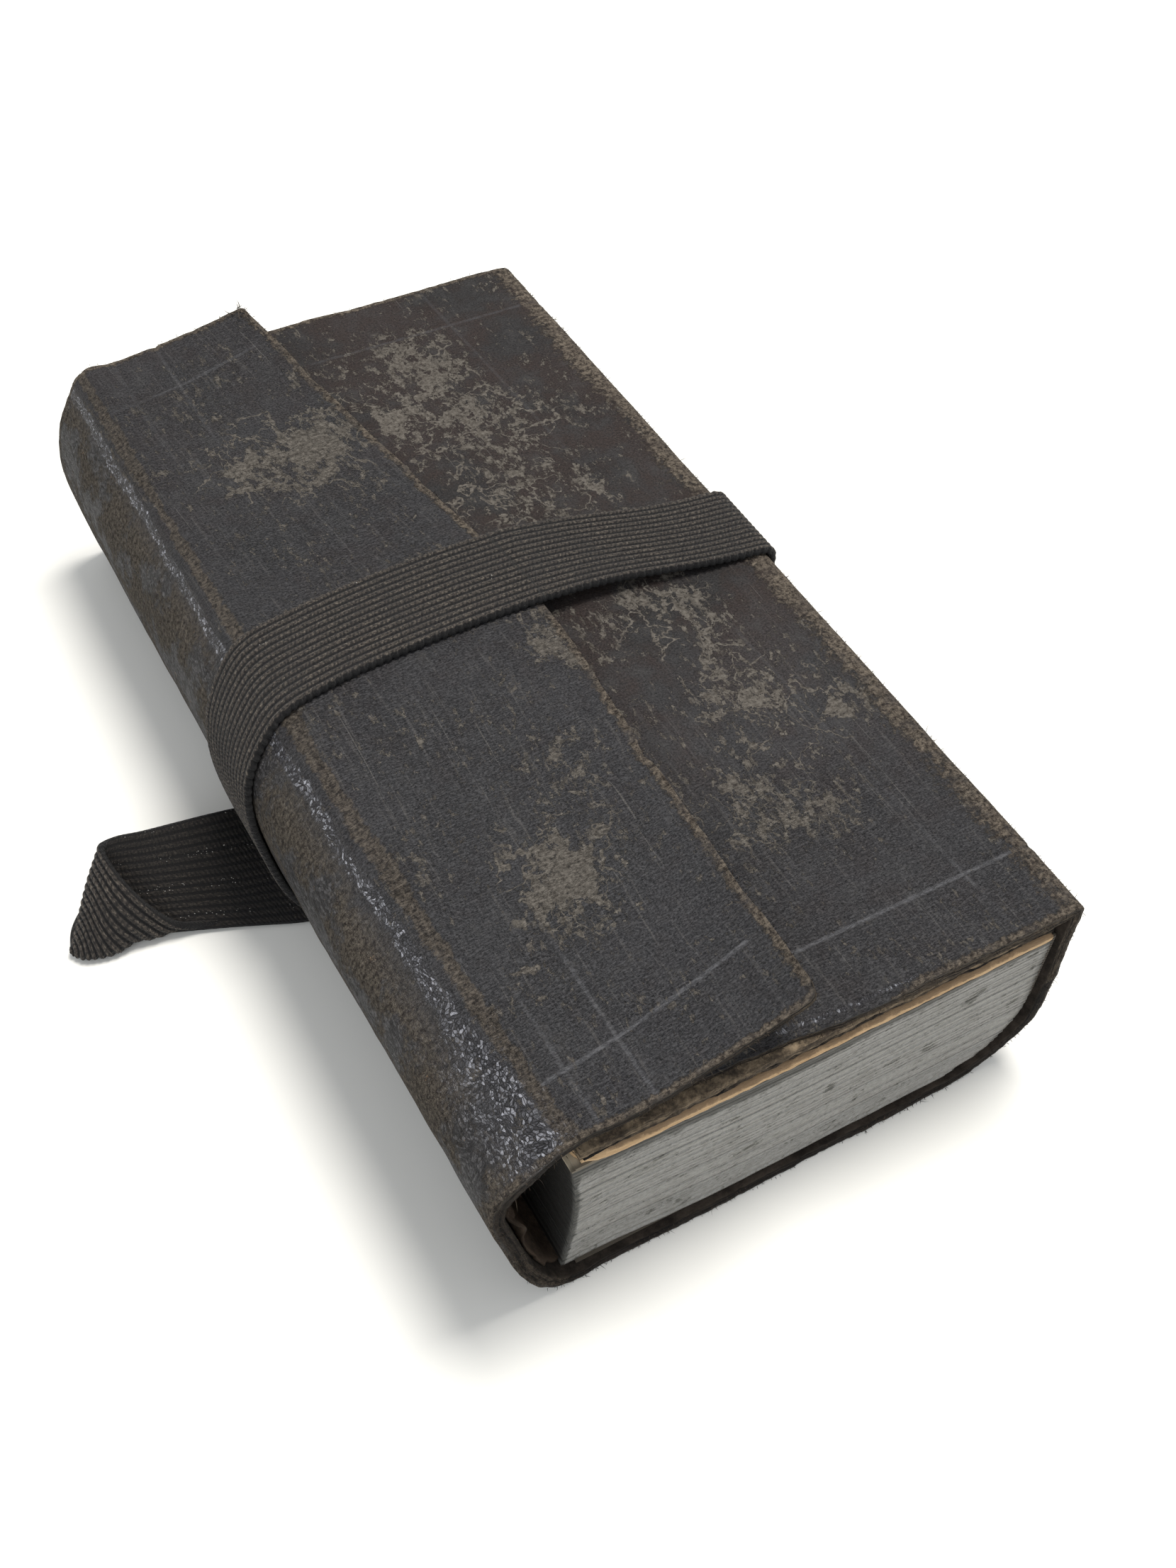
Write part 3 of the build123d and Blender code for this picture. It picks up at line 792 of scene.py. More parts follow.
def top_and_spine():
    """The hide over the top cover, round the corner and down the upper spine."""
    flat_end = SPINE_X - CORNER_ROUND
    across = flat_end - COVER_X
    arc = math.pi / 2 * CORNER_ROUND
    total = across + arc + (TOP_Z - CORNER_ROUND - SEAM_Z)
    s = np.linspace(0, total, int(total / 0.58))
    turn = np.clip((s - across) / CORNER_ROUND, 0, math.pi / 2)
    down = np.maximum(s - across - arc, 0)
    x = np.minimum(COVER_X + s, flat_end) + CORNER_ROUND * np.sin(turn)
    z = TOP_Z - CORNER_ROUND * (1 - np.cos(turn)) - down
    worn_back = 2.1 * smooth(16 - x, 0, 40) * (1 + 0.25 * noise(s, 1.0, 8.0, 5, 3))
    y = hide_rows(s, COLUMNS, worn_back)
    x, z, ss, nx, nz = (line[:, None] for line in (x, z, s, np.sin(turn), np.cos(turn)))
    on_top = nz > 0.9

    # lines pressed into the leather, and its waves
    lift = 0.16 * noise(ss, y, 1.0, 15, 2) * smooth(z, SEAM_Z, SEAM_Z + 6) + 0.03 * noise(ss, y, 4.0, 1.6, 2)
    near_line = line_mark(y - (-HALF + TOOLED_COVER)) * smooth(x, -6, -2)
    long_line = line_mark(x - TOOLED_SPINE_X) * smooth(-y, -10, 8) * on_top
    far_line = line_mark(y - (HALF - TOOLED_COVER)) * smooth(x, 0, 4) * 0.6
    lift = lift - 0.17 * (near_line + far_line + 0.75 * long_line)
    sag = 0.35 * smooth(worn_back[:, None] + (-HALF + 5 - y), 0, 5) * smooth(-x, -20, 30)
    outer = np.stack([x + nx * lift, y, z + nz * lift - sag], -1)
    inner = np.stack([x - nx * HIDE + nx * lift * 0.3, y, z - nz * (HIDE - 0.3 * lift)], -1)
    rolled = smooth(y[:, :1] + 2.4 - y, 0, 2.4) * smooth(18 - x, 0, 10)
    outer[..., 2] -= 0.75 * rolled**2

    corner = np.abs(ss - across - arc * 0.45)
    free = from_ends(y) + 1.4 * smooth(13 - x, 0, 9) * (y < 0)
    edge = np.minimum(np.minimum(free, ss + 0.4), 0.25 * corner + 0.35 * noise(ss, y, 7.0, 6, 3) - 0.1)
    on_spine = 0.3 * (nz < 0.3)
    marks = np.where(y < 0, 1.0, 0.35) * smooth(x, -6, -2) * smooth(np.abs(y), 8, 20)
    marks = marks * on_top * (1 - 0.65 * smooth(-y, -50, -20) * (np.abs(np.abs(y) - 66.2) > 2))
    # painted reflection: the cover's dye is painted greyer towards its near end, where it reflects a brighter
    # part of the room
    tone = 0.12 + 0.75 * smooth(-y, -5, 60) + 0.1 * noise(ss, y, 2.0, 20, 2)
    tone = tone + (SPINE_TONE - tone) * smooth(-z, 4 - TOP_Z, 12 - TOP_Z)
    # painted highlights: a thin line of glints just inside the cover's near edge
    painted_edge_glints = 0.8 * bump(y - y[:, :1] - 1.2, 0.3) * smooth(17 - x, 0, 8) * smooth(x, -14, -2)
    values = hide_values(
        ss, y, edge, wear=blobs(x, y, COVER_WEAR) * (nz > 0.5) + on_spine, wall=on_spine, tone=tone, raw=0.75,
        mark=marks, shine=painted_edge_glints, line_x=x - TOOLED_SPINE_X - 0.045 * (-y - 40),
        line_y=np.abs(y) - (HALF - TOOLED_COVER),
    )
    piece = Piece("hide_top_and_spine")
    sheet_solid(piece, outer, inner, values, start="free", end="seam")
    hairs_at_ends(piece, outer, inner, s, 2.6, 0.45)
    hairs_at_corner(piece, outer, s, across + arc * 0.5)
    obj = piece.finish(LEATHER)
    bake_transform(obj)
    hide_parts("top_leather", "cover_joint_leather")
    return total


def hairs_at_ends(piece, outer, inner, s, per_mm, length):
    """Loose fibres along both cut edges of a length of hide."""
    for col, sign in ((0, -1), (-1, 1)):
        count = int(per_mm * (s[-1] - s[0]))
        row = rng.integers(1, len(outer) - 1, count)
        share = rng.uniform(0, 1, (count, 1))
        roots = outer[row, col] * (1 - share) + inner[row, col] * share
        roots[:, 1] += sign * 0.25
        ways = rng.normal(0, 0.75, (count, 3))
        ways[:, 1] = sign * np.abs(ways[:, 1]) + sign * 0.5
        fibres(piece, roots, ways, random_sizes(count, length), 0.042)


def hairs_at_corner(piece, outer, s, at, count=420):
    """Fibres that stand out along the rubbed spine edge of the top cover."""
    row = np.clip(np.searchsorted(s, at + rng.normal(0, 0.9, count)), 1, len(outer) - 2)
    col = rng.integers(1, outer.shape[1] - 1, count)
    roots = outer[row, col] - [0.05, 0, 0.02]
    ways = rng.normal(0, 0.45, (count, 3)) + [0.9, 0, 0.35]
    fibres(piece, roots, ways, random_sizes(count, 0.42), 0.042)


def hairs_on_free_edge(piece, outer, count=330, tuft_count=14):
    """Fibres along the flap's free edge, and a tuft at its far corner."""
    col = rng.integers(1, outer.shape[1] - 1, count)
    roots = outer[-1, col] + [0.3, 0, -0.5]
    roots[:, 2] += rng.uniform(-0.5, 0.4, count)
    ways = rng.normal(0, 0.6, (count, 3)) + [0.8, 0, 0.1]
    fibres(piece, roots, ways, np.full(count, 0.4), 0.055)
    roots = outer[-1, -1] + rng.normal(0, 0.5, (tuft_count, 3)) - [0.8, 0.3, 0.3]
    ways = rng.normal(0, 0.5, (tuft_count, 3)) + [-0.2, 0.8, 0.6]
    fibres(piece, roots, ways, np.full(tuft_count, 1.5), 0.09)


def pressed(x, y, z):
    """Height of the underside, with the groove that the elastic has pressed into it."""
    across = smooth(x, -38, 34)
    middle, half = -5.6 + 8.6 * across, 4.6 + 2.8 * across
    return np.maximum(z, 1.15 * smooth(half + 1.5 - np.abs(y - middle), 0, 0.9))


def bottom_and_folds(s_start):
    """The hide down the lower spine, under the book, round the lower fold and up to the wall seam."""
    y = hide_rows(np.zeros(1), 200)[0]
    down = np.stack([np.full(8, SPINE_X), np.linspace(SEAM_Z, SPINE_ROUND, 8)], -1)
    turn = np.linspace(0, math.pi / 2, 40)[1:]
    centre_x = SPINE_X - SPINE_ROUND
    round_part = np.stack([centre_x + SPINE_ROUND * np.cos(turn), SPINE_ROUND * (1 - np.sin(turn))], -1)
    flat = np.stack([np.linspace(centre_x, BOTTOM_END_X, 90)[1:], np.zeros(89)], -1)
    right = np.concatenate([down, round_part, flat])
    right = resample(right, np.linspace(0, lengths(right)[-1], 108))
    sections = left_sections(y)
    left = stretches(sections, np.zeros(len(y)), seam_distances(sections), 48)[1:]
    line = np.concatenate([np.repeat(right[:, None], len(y), 1), left])
    s = s_start + lengths(line)[:, len(y) // 2]
    ss = s[:, None]
    yy = hide_rows(s, len(y))
    x, z = line[..., 0], line[..., 1]
    nx, nz = normals_of(x, z)
    wall = smooth(z, 2, 9) * (x < 0)
    lift = 0.25 * noise(ss, yy, 1.0, 9, 3) * wall + 0.03 * noise(ss, yy, 4.0, 1.6, 2)
    lift = lift * (0.25 + 0.75 * (1 - near_elastic(yy)))
    outer = shifted(x, yy, z, nx, nz, lift)
    outer[..., 2] = np.maximum(pressed(x, yy, outer[..., 2]), FLOOR_EASE)
    inner = shifted(x, yy, z, nx, nz, -HIDE)
    spine = smooth(x, 30, 38)
    values = hide_values(
        ss, yy, from_ends(yy), wear=0.2 + 0.1 * spine, wall=np.maximum(wall, 0.3 * spine) + 0.25 * (z < 1),
        tone=SPINE_TONE, raw=0.1 + 0.5 * (x < -36),
    )
    piece = Piece("hide_spine_and_bottom")
    sheet_solid(piece, outer, inner, values, start="seam", end="seam")
    hairs_at_ends(piece, outer, inner, s, 5.0, 0.34)
    obj = piece.finish(LEATHER)
    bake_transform(obj)
    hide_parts("bottom_leather", "lower_fold", "spine_leather")
    return s[-1]


def wall_and_flap(s_start, rows=142, corner=1.9):
    """The hide from the wall seam over the upper fold to the flap's free edge."""
    sections = left_sections(hide_rows(np.zeros(1), COLUMNS)[0])
    begins, stops = np.array(seam_distances(sections)), lengths(sections)[-1]
    line = stretches(sections, begins, stops, rows)
    walked = np.linspace(0, 1, rows)[:, None] * (stops - begins)[None]
    s = s_start + walked.mean(1)
    ss = s[:, None]
    x, z = line[..., 0], line[..., 1]
    yy = hide_rows(s, COLUMNS)
    from_edge = walked[-1:] - walked
    short = np.maximum(corner - from_edge, 0)
    rounding = corner - np.sqrt(np.maximum(corner**2 - short**2, 0))
    share = np.linspace(0, 1, COLUMNS)
    yy = yy + rounding * (1 - share) ** 14 - 0.35 * rounding * share**14
    nx, nz = normals_of(x, z)
    wall = smooth(36.2 - z, 0, 5) * (x < -33)
    crease = np.argmax(z > 36.95, axis=0)
    past_crease = walked - walked[crease, np.arange(COLUMNS)][None]

    # waves, the wrinkled crease and the pressed lines
    lift = 0.26 * noise(ss, yy, 1.0, 9, 3) * wall + 0.10 * noise(ss, yy, 1.0, 17, 2) * (1 - wall)
    wrinkle = bump(past_crease + 5, 6) * smooth(-yy, 40, 74)
    ripple = noise(ss, yy * 0.45, 9.0, 1.5, 2) + 0.6 * noise(ss * 0.5, yy, 12.0, 2.2, 2)
    lift = lift + 0.17 * wrinkle * ripple
    lift = lift - 0.16 * bump(past_crease, 0.7) + 0.14 * bump(past_crease + 2.0, 1.1)
    lift = lift + 0.05 * noise(ss, yy * 0.1, 3.0, 1.2, 2) * (1 - wall)
    on_flap = past_crease > 1.5
    ends = sum(line_mark(yy - at) * smooth(from_edge, 2.5, 5) * on_flap for at in TOOLED_FLAP_Y)
    along = line_mark(x - TOOLED_FLAP_X) * smooth(np.abs(yy), 56, 60) * on_flap
    lift = lift - 0.16 * (ends + along)
    lift = lift * (0.2 + 0.8 * (1 - near_elastic(yy)))
    outer = shifted(x, yy, z, nx, nz, lift)
    rim_distance = np.minimum(np.minimum(HALF - yy, yy + HALF), from_edge)
    thick = HIDE * (1 - 0.34 * smooth(3.2 - rim_distance, 0, 3.2) * smooth(z, 34, 36.5))
    inner = shifted(x, yy, z, nx, nz, -thick)

    wide = 1.0 + 0.5 * noise(0.0, yy, 4.0, 12, 2)
    wide = wide + 0.5 * smooth(-yy, -20, 10) * smooth(yy, -70, -50)
    # painted highlights: a band of glints beside the crease, and more over the wrinkled near corner
    shine = bump(past_crease + 2.2 + wide, 0.9 + 0.3 * smooth(-yy, 20, 60)) + 0.62 * wrinkle
    marks = smooth(past_crease, 0.2, 1.0) * smooth(from_edge, 2.5, 4) * smooth(np.abs(yy), 44, 62)
    marks = marks * (1 - 0.4 * (yy > 0)) * (1 - 0.5 * smooth(-x, 28, 31) * smooth(yy, -70, -55))
    along_at = np.where(x < (TOOLED_FLAP_X + FOLD_LINE_X) / 2, FOLD_LINE_X, TOOLED_FLAP_X)
    across_at = np.where(yy < 0, TOOLED_FLAP_Y[0] + 0.11 * (x + 22), TOOLED_FLAP_Y[1] + 0.15 * (x + 24))
    values = hide_values(
        ss, yy, np.minimum(from_ends(yy), from_edge * 0.7 + 0.05), wear=blobs(x, yy, FLAP_WEAR) * (1 - wall),
        # the tone rises a little towards the near end here too, a painted reflection
        wall=wall, bend=bump(past_crease + 0.2, wide), shine=shine, tone=0.86 - 0.14 * np.tanh(yy / 40),
        # the free edge faces the light: its crumbly brown is partly a painted highlight
        raw=0.35 + 0.5 * smooth(6 - from_edge, 0, 3), mark=marks, line_x=x - along_at, line_y=yy - across_at,
    )
    piece = Piece("hide_wall_and_flap")
    sheet_solid(piece, outer, inner, values, start="seam", end="free")
    hairs_at_ends(piece, outer, inner, s, 3.0, 0.42)
    hairs_on_free_edge(piece, outer)
    obj = piece.finish(LEATHER)
    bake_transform(obj)
    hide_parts("wall_leather", "upper_fold", "flap_leather")


def lining_strip():
    """The brown lining inside the wall and the flap, torn away in tongues at its near end."""
    y = np.linspace(-HALF + 1.0, HALF - 1.4, 130)
    sections = left_sections(y)
    line = stretches(sections, np.full(len(y), 4.0), lengths(sections)[-1] - 1.2, 80)
    x, z = line[..., 0], line[..., 1]
    nx, nz = normals_of(x, z)
    s = lengths(line)
    share = np.linspace(1, 0, len(y)) ** 6
    torn = (1.6 + 2.6 * noise(s[:, 0], 1.0, 3.0, 6, 3)).clip(0, 6)
    yy = y[None] + torn[:, None] * share
    near = HIDE + 0.06 + 0.35 * np.abs(noise(s, yy, 2.0, 5, 2)) * (z > 3)
    near = near + 1.1 * share * smooth(noise(s, yy, 6.0, 5, 2), 0.1, 0.6) * (z < 33)
    outer = shifted(x, yy, z, nx, nz, -near)
    inner = outer - np.stack([nx, 0 * nx, nz], -1) * 0.3
    for grid, clear in ((outer, 0.28), (inner, 0.08)):
        grid[..., 2] = np.where(z > 36.5, np.maximum(grid[..., 2], TOP_Z + clear), grid[..., 2])
    values = {"rest": np.stack([s, yy, 0 * s], -1), "grime_and_shade": np.full_like(s, 0.2)}
    piece = Piece("lining_wall_and_flap")
    sheet_solid(piece, outer, inner, values, rim=1, bulge=0.35)
    obj = piece.finish(LINING)
    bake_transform(obj)
    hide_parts("wall_lining", "flap_lining")


# Boards of the top cover

class Outline:
    """A node's box in book millimetres, and points round it seen from above."""

    def __init__(self, low, high, step):
        self.low = np.array(low) / MM - [SHIFT_X, 0, 0]
        self.high = np.array(high) / MM - [SHIFT_X, 0, 0]
        self.middle = (self.low[:2] + self.high[:2]) / 2
        self.half = (self.high[:2] - self.low[:2]) / 2
        (x0, y0), (x1, y1) = self.low[:2], self.high[:2]
        corners = np.array([(x0, y0), (x1, y0), (x1, y1), (x0, y1)])
        points = []
        for a, b in zip(corners, np.roll(corners, -1, 0)):
            count = max(2, int(np.linalg.norm(b - a) / step))
            points.append(a + (b - a) * np.linspace(0, 1, count, endpoint=False)[:, None])
        self.points = np.concatenate(points)

    def drawn_in(self, points, by):
        """Points moved towards the middle, by a distance at the sides of the box."""
        return self.middle + (points - self.middle) * (1 - by / self.half)


def at_height(points, z):
    return np.concatenate([points[:, :2], np.full((len(points), 1), float(z))], -1)


def bands_of(index):
    """Four-sided faces between each row of a grid of points and the next, right round."""
    low, high = index[:-1], index[1:]
    return np.stack([low, np.roll(low, -1, 1), np.roll(high, -1, 1), high], -1).reshape(-1, 4).tolist()


def layer(name, box, material, wobble, rows=5, inset=0.0, hole=None, grime_and_shade=0.2, top_soiled=False):
    """A board or card with rough edges. inset draws the outline in, as where it is broken: a number
    or a function of x, y and the share of the height. hole is the width of a frame round a gap."""
    shape = Outline(*box, 0.5)
    x, y = shape.points.T
    low, high = shape.low[2], shape.high[2]
    cap = hole or 2.0
    rings, edge, dirt = [], [], []
    for level, deep in [(0.0, cap)] + [(k / rows, 0.0) for k in range(rows + 1)] + [(1.0, cap)]:
        z = low + (high - low) * level
        rounding = 0.22 * (high - low) * abs(2 * level - 1) ** 3
        ragged = wobble * (noise(x, y, 3 * z, 1.2, 3) + 0.8 * noise(x, y, z, 6, 2) + 0.6)
        pull = deep + rounding + np.maximum(ragged, 0)
        pull = pull + (inset(x, y, level) if callable(inset) else inset)
        rings.append(at_height(shape.drawn_in(shape.points, pull[:, None]), z))
        edge.append(np.full(len(x), float(deep)))
        dirt.append(np.full(len(x), grime_and_shade * smooth(level, 0.45, 0.8) if top_soiled else grime_and_shade))
    index = np.arange(len(x) * len(rings)).reshape(len(rings), len(x))
    if hole:
        faces = bands_of(index) + bands_of(index[[-1, 0]])
    else:
        faces = bands_of(index) + [index[-1].tolist(), index[0][::-1].tolist()]
    grid = np.concatenate(rings)
    piece = Piece(name)
    own = {"rest": grid, "edge": np.concatenate(edge), "grime_and_shade": np.concatenate(dirt)}
    piece.add(grid, faces, {**HAIR, **own})
    return piece.finish(material)


def broken_corner(x, y, level):
    """The board is broken away and rounded at its near fore-edge corner, most of all near its top."""
    away = np.hypot(x - COVER_X, y + HALF)
    chip = 1.3 * bump(away, 2.6) * (0.6 + 0.8 * level) - 0.3  # elsewhere it stands a little proud
    near_left = smooth(-x, 8, 34) * smooth(-y, HALF - 6, HALF - 1)
    return chip + near_left * 0.5 * level * (1 + 0.8 * noise(x, y, level, 2.2, 3))


def cover_layers():
    obj = layer("top_card_frayed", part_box("top_card"), CARD, 0.3, inset=-0.4)
    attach(obj, "cover")
    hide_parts("top_card")
    obj = layer("turned_in_hide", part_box("leather_turn_in"), LEATHER, 0.35, rows=4, hole=9.0, inset=0.5)
    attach(obj, "cover")
    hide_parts("leather_turn_in")
    obj = layer("board_broken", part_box("top_board"), BOARD, 0.12, rows=6, inset=broken_corner, grime_and_shade=0.35,
                top_soiled=True)
    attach(obj, "cover")
    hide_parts("top_board")


# The page block

LEAVES = 9  # leaves drawn in each gathering
GATHERINGS = 10
TURNING = {1: "gathering_a", 2: "gathering_b", 3: "gathering_c"}  # bodies of those that turn over
BLOCK_LOW_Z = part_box(f"gathering_{GATHERINGS:02d}")[0].z / MM
BLOCK_HIGH_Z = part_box("gathering_01")[1].z / MM
INNER_ROUND = SPINE_ROUND - 2.9  # of the block inside the spine
PAGE_BORDER = 0.25


def gathering(number):
    """One gathering: leaves whose cut edges are slightly uneven, grey outside and cream inside."""
    node = f"gathering_{number:02d}"
    low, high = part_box(node)
    z0, z1 = low.z / MM, high.z / MM
    low.x, high.x = (corner.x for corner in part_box("gathering_01"))
    shape = Outline(low, high, 1.1)
    (left, near), (right, far) = shape.low[:2], shape.high[:2]
    x, y = shape.points.T
    from_left, from_near = (x - left) / (right - left), (y - near) / (far - near)
    recess = 0.75 * smooth(-x, 5, 34)
    rings, edge, grime_and_shade = [], [], []
    for leaf in range(LEAVES):
        set_back = rng.uniform(0, 0.16)
        slip = rng.uniform(0, 0.10)
        for part in (0.08, 0.92):
            z = z0 + (z1 - z0) * (leaf + part) / LEAVES
            share = (z - BLOCK_LOW_Z) / (BLOCK_HIGH_Z - BLOCK_LOW_Z)
            hollow = 1.2 * math.sin(math.pi * min(max(share, 0), 1))
            drop = max(SPINE_ROUND - z, 0)
            backed = INNER_ROUND - math.sqrt(max(INNER_ROUND**2 - drop**2, 0))
            plain = np.maximum(set_back + 0.10 * noise(x, y, z * 0.7, 7, 3) + 0.12, 0.02)
            moved = np.stack([
                x + (plain + hollow) * (1 - from_left) - (0.02 + backed) * from_left,
                y + (plain + recess - 0.45) * (1 - from_near) - (plain + slip) * from_near,
            ], -1)
            rings.append(at_height(moved, z))
            top_dirt = smooth(z, BLOCK_HIGH_Z - 5.5 * smooth(-x, -30, 36) - 1.6, BLOCK_HIGH_Z - 0.4)
            left_dirt = smooth(-x, -left - 1.4, -left - 0.3)
            on_fore_edge = (x < left + 0.01) & (y > near + 0.5)
            dirt = 0.75 * np.maximum(top_dirt, left_dirt) * smooth(-y, -30, 30)
            # painted shade: the fore edge lies in the dark hollow under the wall, so its value is raised
            # enough to paint it near black
            grime_and_shade.append(dirt + 0.3 * smooth(y, -30, 30) + 1.6 * on_fore_edge)
            edge.append(np.zeros(len(x)))
    first, last = (shape.drawn_in(ring[:, :2], PAGE_BORDER) for ring in (rings[0], rings[-1]))
    rings = [at_height(first, z0), *rings, at_height(last, z1)]
    border, clean = [np.full(len(x), 2.5)], [np.zeros(len(x))]
    index = np.arange(len(x) * len(rings)).reshape(len(rings), len(x))
    grid = np.concatenate(rings)
    piece = Piece(f"leaves_{number:02d}")
    values = {"rest": grid, "edge": np.concatenate(border + edge + border),
              "grime_and_shade": np.concatenate(clean + grime_and_shade + clean)}
    piece.add(grid, bands_of(index), values)
    piece.add_faces([index[-1].tolist(), index[0][::-1].tolist()], flat=True, slot=1)
    obj = piece.finish(PAGE_EDGES, PAGE)
    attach(obj, TURNING.get(number, "base"))
    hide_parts(node)


# The elastic

RIB_COLUMNS = RIBS * 4 + 1
THICK_HALF = 0.375  # half the thickness of the elastic
SCALLOP = 1.25  # length of one loop of yarn on its edges


def elastic_piece(name, middle, along, upright, weave_edges=False, **ends):
    """A ribbed strip of elastic about its middle surface; upright turns its outer side up or out."""
    v = np.linspace(-1, 1, RIB_COLUMNS)[None]
    rim = smooth(np.abs(v), 0.9, 1.0)
    rib = np.abs(np.sin(math.pi * RIBS * (v + 1) / 2)) ** 0.8
    loops = 1 + 0.35 * rim * np.abs(np.sin(math.pi * along / SCALLOP))
    outer = middle + upright * (THICK_HALF + 0.34 * rib * loops)[..., None]
    inner = middle - upright * (THICK_HALF + 0.10 * rib)[..., None]
    for grid in (outer, inner):
        if weave_edges:
            grid[..., 1] += 0.16 * np.sin(2 * math.pi * along / SCALLOP) * rim * np.sign(v)
        grid[..., 2] = np.maximum(grid[..., 2], FLOOR_EASE)
    values = {"rest": np.stack([along + 0 * v, ELASTIC_HALF * v + 0 * along, 0 * along * v], -1),
              "rib": rib + 0 * along}
    piece = Piece(name)
    sheet_solid(piece, outer, inner, values, rim=1, bulge=0.35, **ends)
    return piece.finish(ELASTIC)


def grid_normals(grid):
    return unit(np.cross(np.gradient(grid, axis=0), np.gradient(grid, axis=1)))


# Route of the elastic round the book: place on the section, then the y of its near and far edges.
# Lengths on the left side are shares of the way from the bottom (0) to the flap's edge (1).
BAND_LEFT = (
    (1.00, -0.9, 14.7), (0.90, -0.8, 14.8), (0.78, -1.2, 14.2), (0.66, -2.2, 13.0),
    (0.56, -4.2, 11.2), (0.49, -5.8, 9.4), (0.42, -7.6, 7.0), (0.33, -10.0, 4.2),
    (0.24, -10.8, 1.2), (0.15, -10.6, -1.2), (0.06, -10.2, -1.4), (0.0, -9.9, -1.2),
)
BAND_GAP = 0.28 + THICK_HALF  # from the flap to the middle of the band
SPINE_GAP = 0.25 + THICK_HALF
GROUND = THICK_HALF + 0.12  # height of the middle of the band under the book
FINE = 700  # points along each section that the band is laid on


def band_on_left(v):
    """The band's rows from the flap's edge over the fold and down the wall to the bottom."""
    shares, near, far = spline(BAND_LEFT, 14).T
    y_fine = np.linspace(-14, 18, 65)
    sections = left_sections(y_fine)
    flat = stretches(sections, np.zeros(len(y_fine)), lengths(sections)[-1], FINE)
    nx, nz = normals_of(flat[..., 0], flat[..., 1])
    fx, fz = flat[..., 0] + nx * BAND_GAP, flat[..., 1] + nz * BAND_GAP
    y = near[:, None] + (far - near)[:, None] * v
    row = np.clip(shares[:, None] * (FINE - 1), 0, FINE - 1.001) + 0 * y
    col = np.clip((y - y_fine[0]) / (y_fine[1] - y_fine[0]), 0, len(y_fine) - 1.001)
    i, j = row.astype(int), col.astype(int)
    a, b = row - i, col - j

    def pick(field):
        return ((1 - a) * (1 - b) * field[i, j] + a * (1 - b) * field[i + 1, j]
                + (1 - a) * b * field[i, j + 1] + a * b * field[i + 1, j + 1])

    x, z = pick(fx), pick(fz)
    least = np.where(x > -33, THICK_HALF + FLOOR_EASE * (z < 3), THICK_HALF + 0.1)
    return np.stack([x, y, np.maximum(z, least)], -1)


def straight_stretch(points, near_y, far_y, count, v):
    """Rows of the band along section points, with the y of its two edges at both ends."""
    points = np.array(points, float)
    p = resample(points, np.linspace(0, lengths(points)[-1], count))
    t = np.linspace(0, 1, count)[:, None]
    low, high = (at[0] + (at[1] - at[0]) * t for at in (near_y, far_y))
    y = low + (high - low) * v
    return np.stack([p[:, :1] + 0 * y, y, p[:, 1:] + 0 * y], -1)


def elastic_band():
    """The band: straight from the spine's corner to the flap's edge, then close round the book."""
    v = np.linspace(0, 1, RIB_COLUMNS)
    centre = SPINE_X - SPINE_ROUND
    under = straight_stretch([(BOTTOM_END_X, GROUND), (centre, GROUND)], (-9.9, -4.6), (-1.2, 9.4), 60, v)
    reach = SPINE_ROUND + SPINE_GAP
    up = [(centre + reach * math.cos(a), max(SPINE_ROUND + reach * math.sin(a), GROUND))
          for a in np.linspace(-math.pi / 2, 0, 24)]
    up.append((SPINE_X + SPINE_GAP, TOP_Z - 2.5))
    bend = 1.6
    reach = bend + SPINE_GAP
    up += [(SPINE_X - bend + reach * math.cos(a), TOP_Z - bend + reach * math.sin(a))
           for a in np.linspace(0, math.pi / 2, 9)[1:]]
    spine = straight_stretch(up, (-4.6, -4.3), (9.4, 10.1), 130, v)[1:]
    flap_edge = FLAP_EDGE[1][0], FLAP_EDGE[1][1] + BAND_GAP
    top = straight_stretch([up[-1], flap_edge], (-4.3, -0.9), (10.1, 14.7), 110, v)[1:-1]
    share = np.linspace(0, 1, len(top))[:, None]
    narrowing = 1.2 * np.sin(math.pi * share) * (0.5 - v)[None] * 0.6
    top[..., 1] += narrowing - 0.4 * np.sin(2 * math.pi * share)
    ring = np.concatenate([band_on_left(v), under[1:], spine, top])

    closed = np.concatenate([ring, ring[:1]])
    walked = lengths(closed.mean(1))
    total = walked[-1]
    at = np.linspace(0, total, int(total / 0.36), endpoint=False)
    even = respaced(closed, walked, at)
    for _ in range(4):
        even = (np.roll(even, 1, 0) + 2 * even + np.roll(even, -1, 0)) / 4
    normal = grid_normals(np.concatenate([even[-2:], even, even[:2]]))[2:-2]
    if normal[0, :, 2].mean() < 0:
        normal = -normal
    obj = elastic_piece("elastic_round_book", even, at[:, None], normal, weave_edges=True, closed=True)
    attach(obj, "band")
    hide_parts("elastic_band")


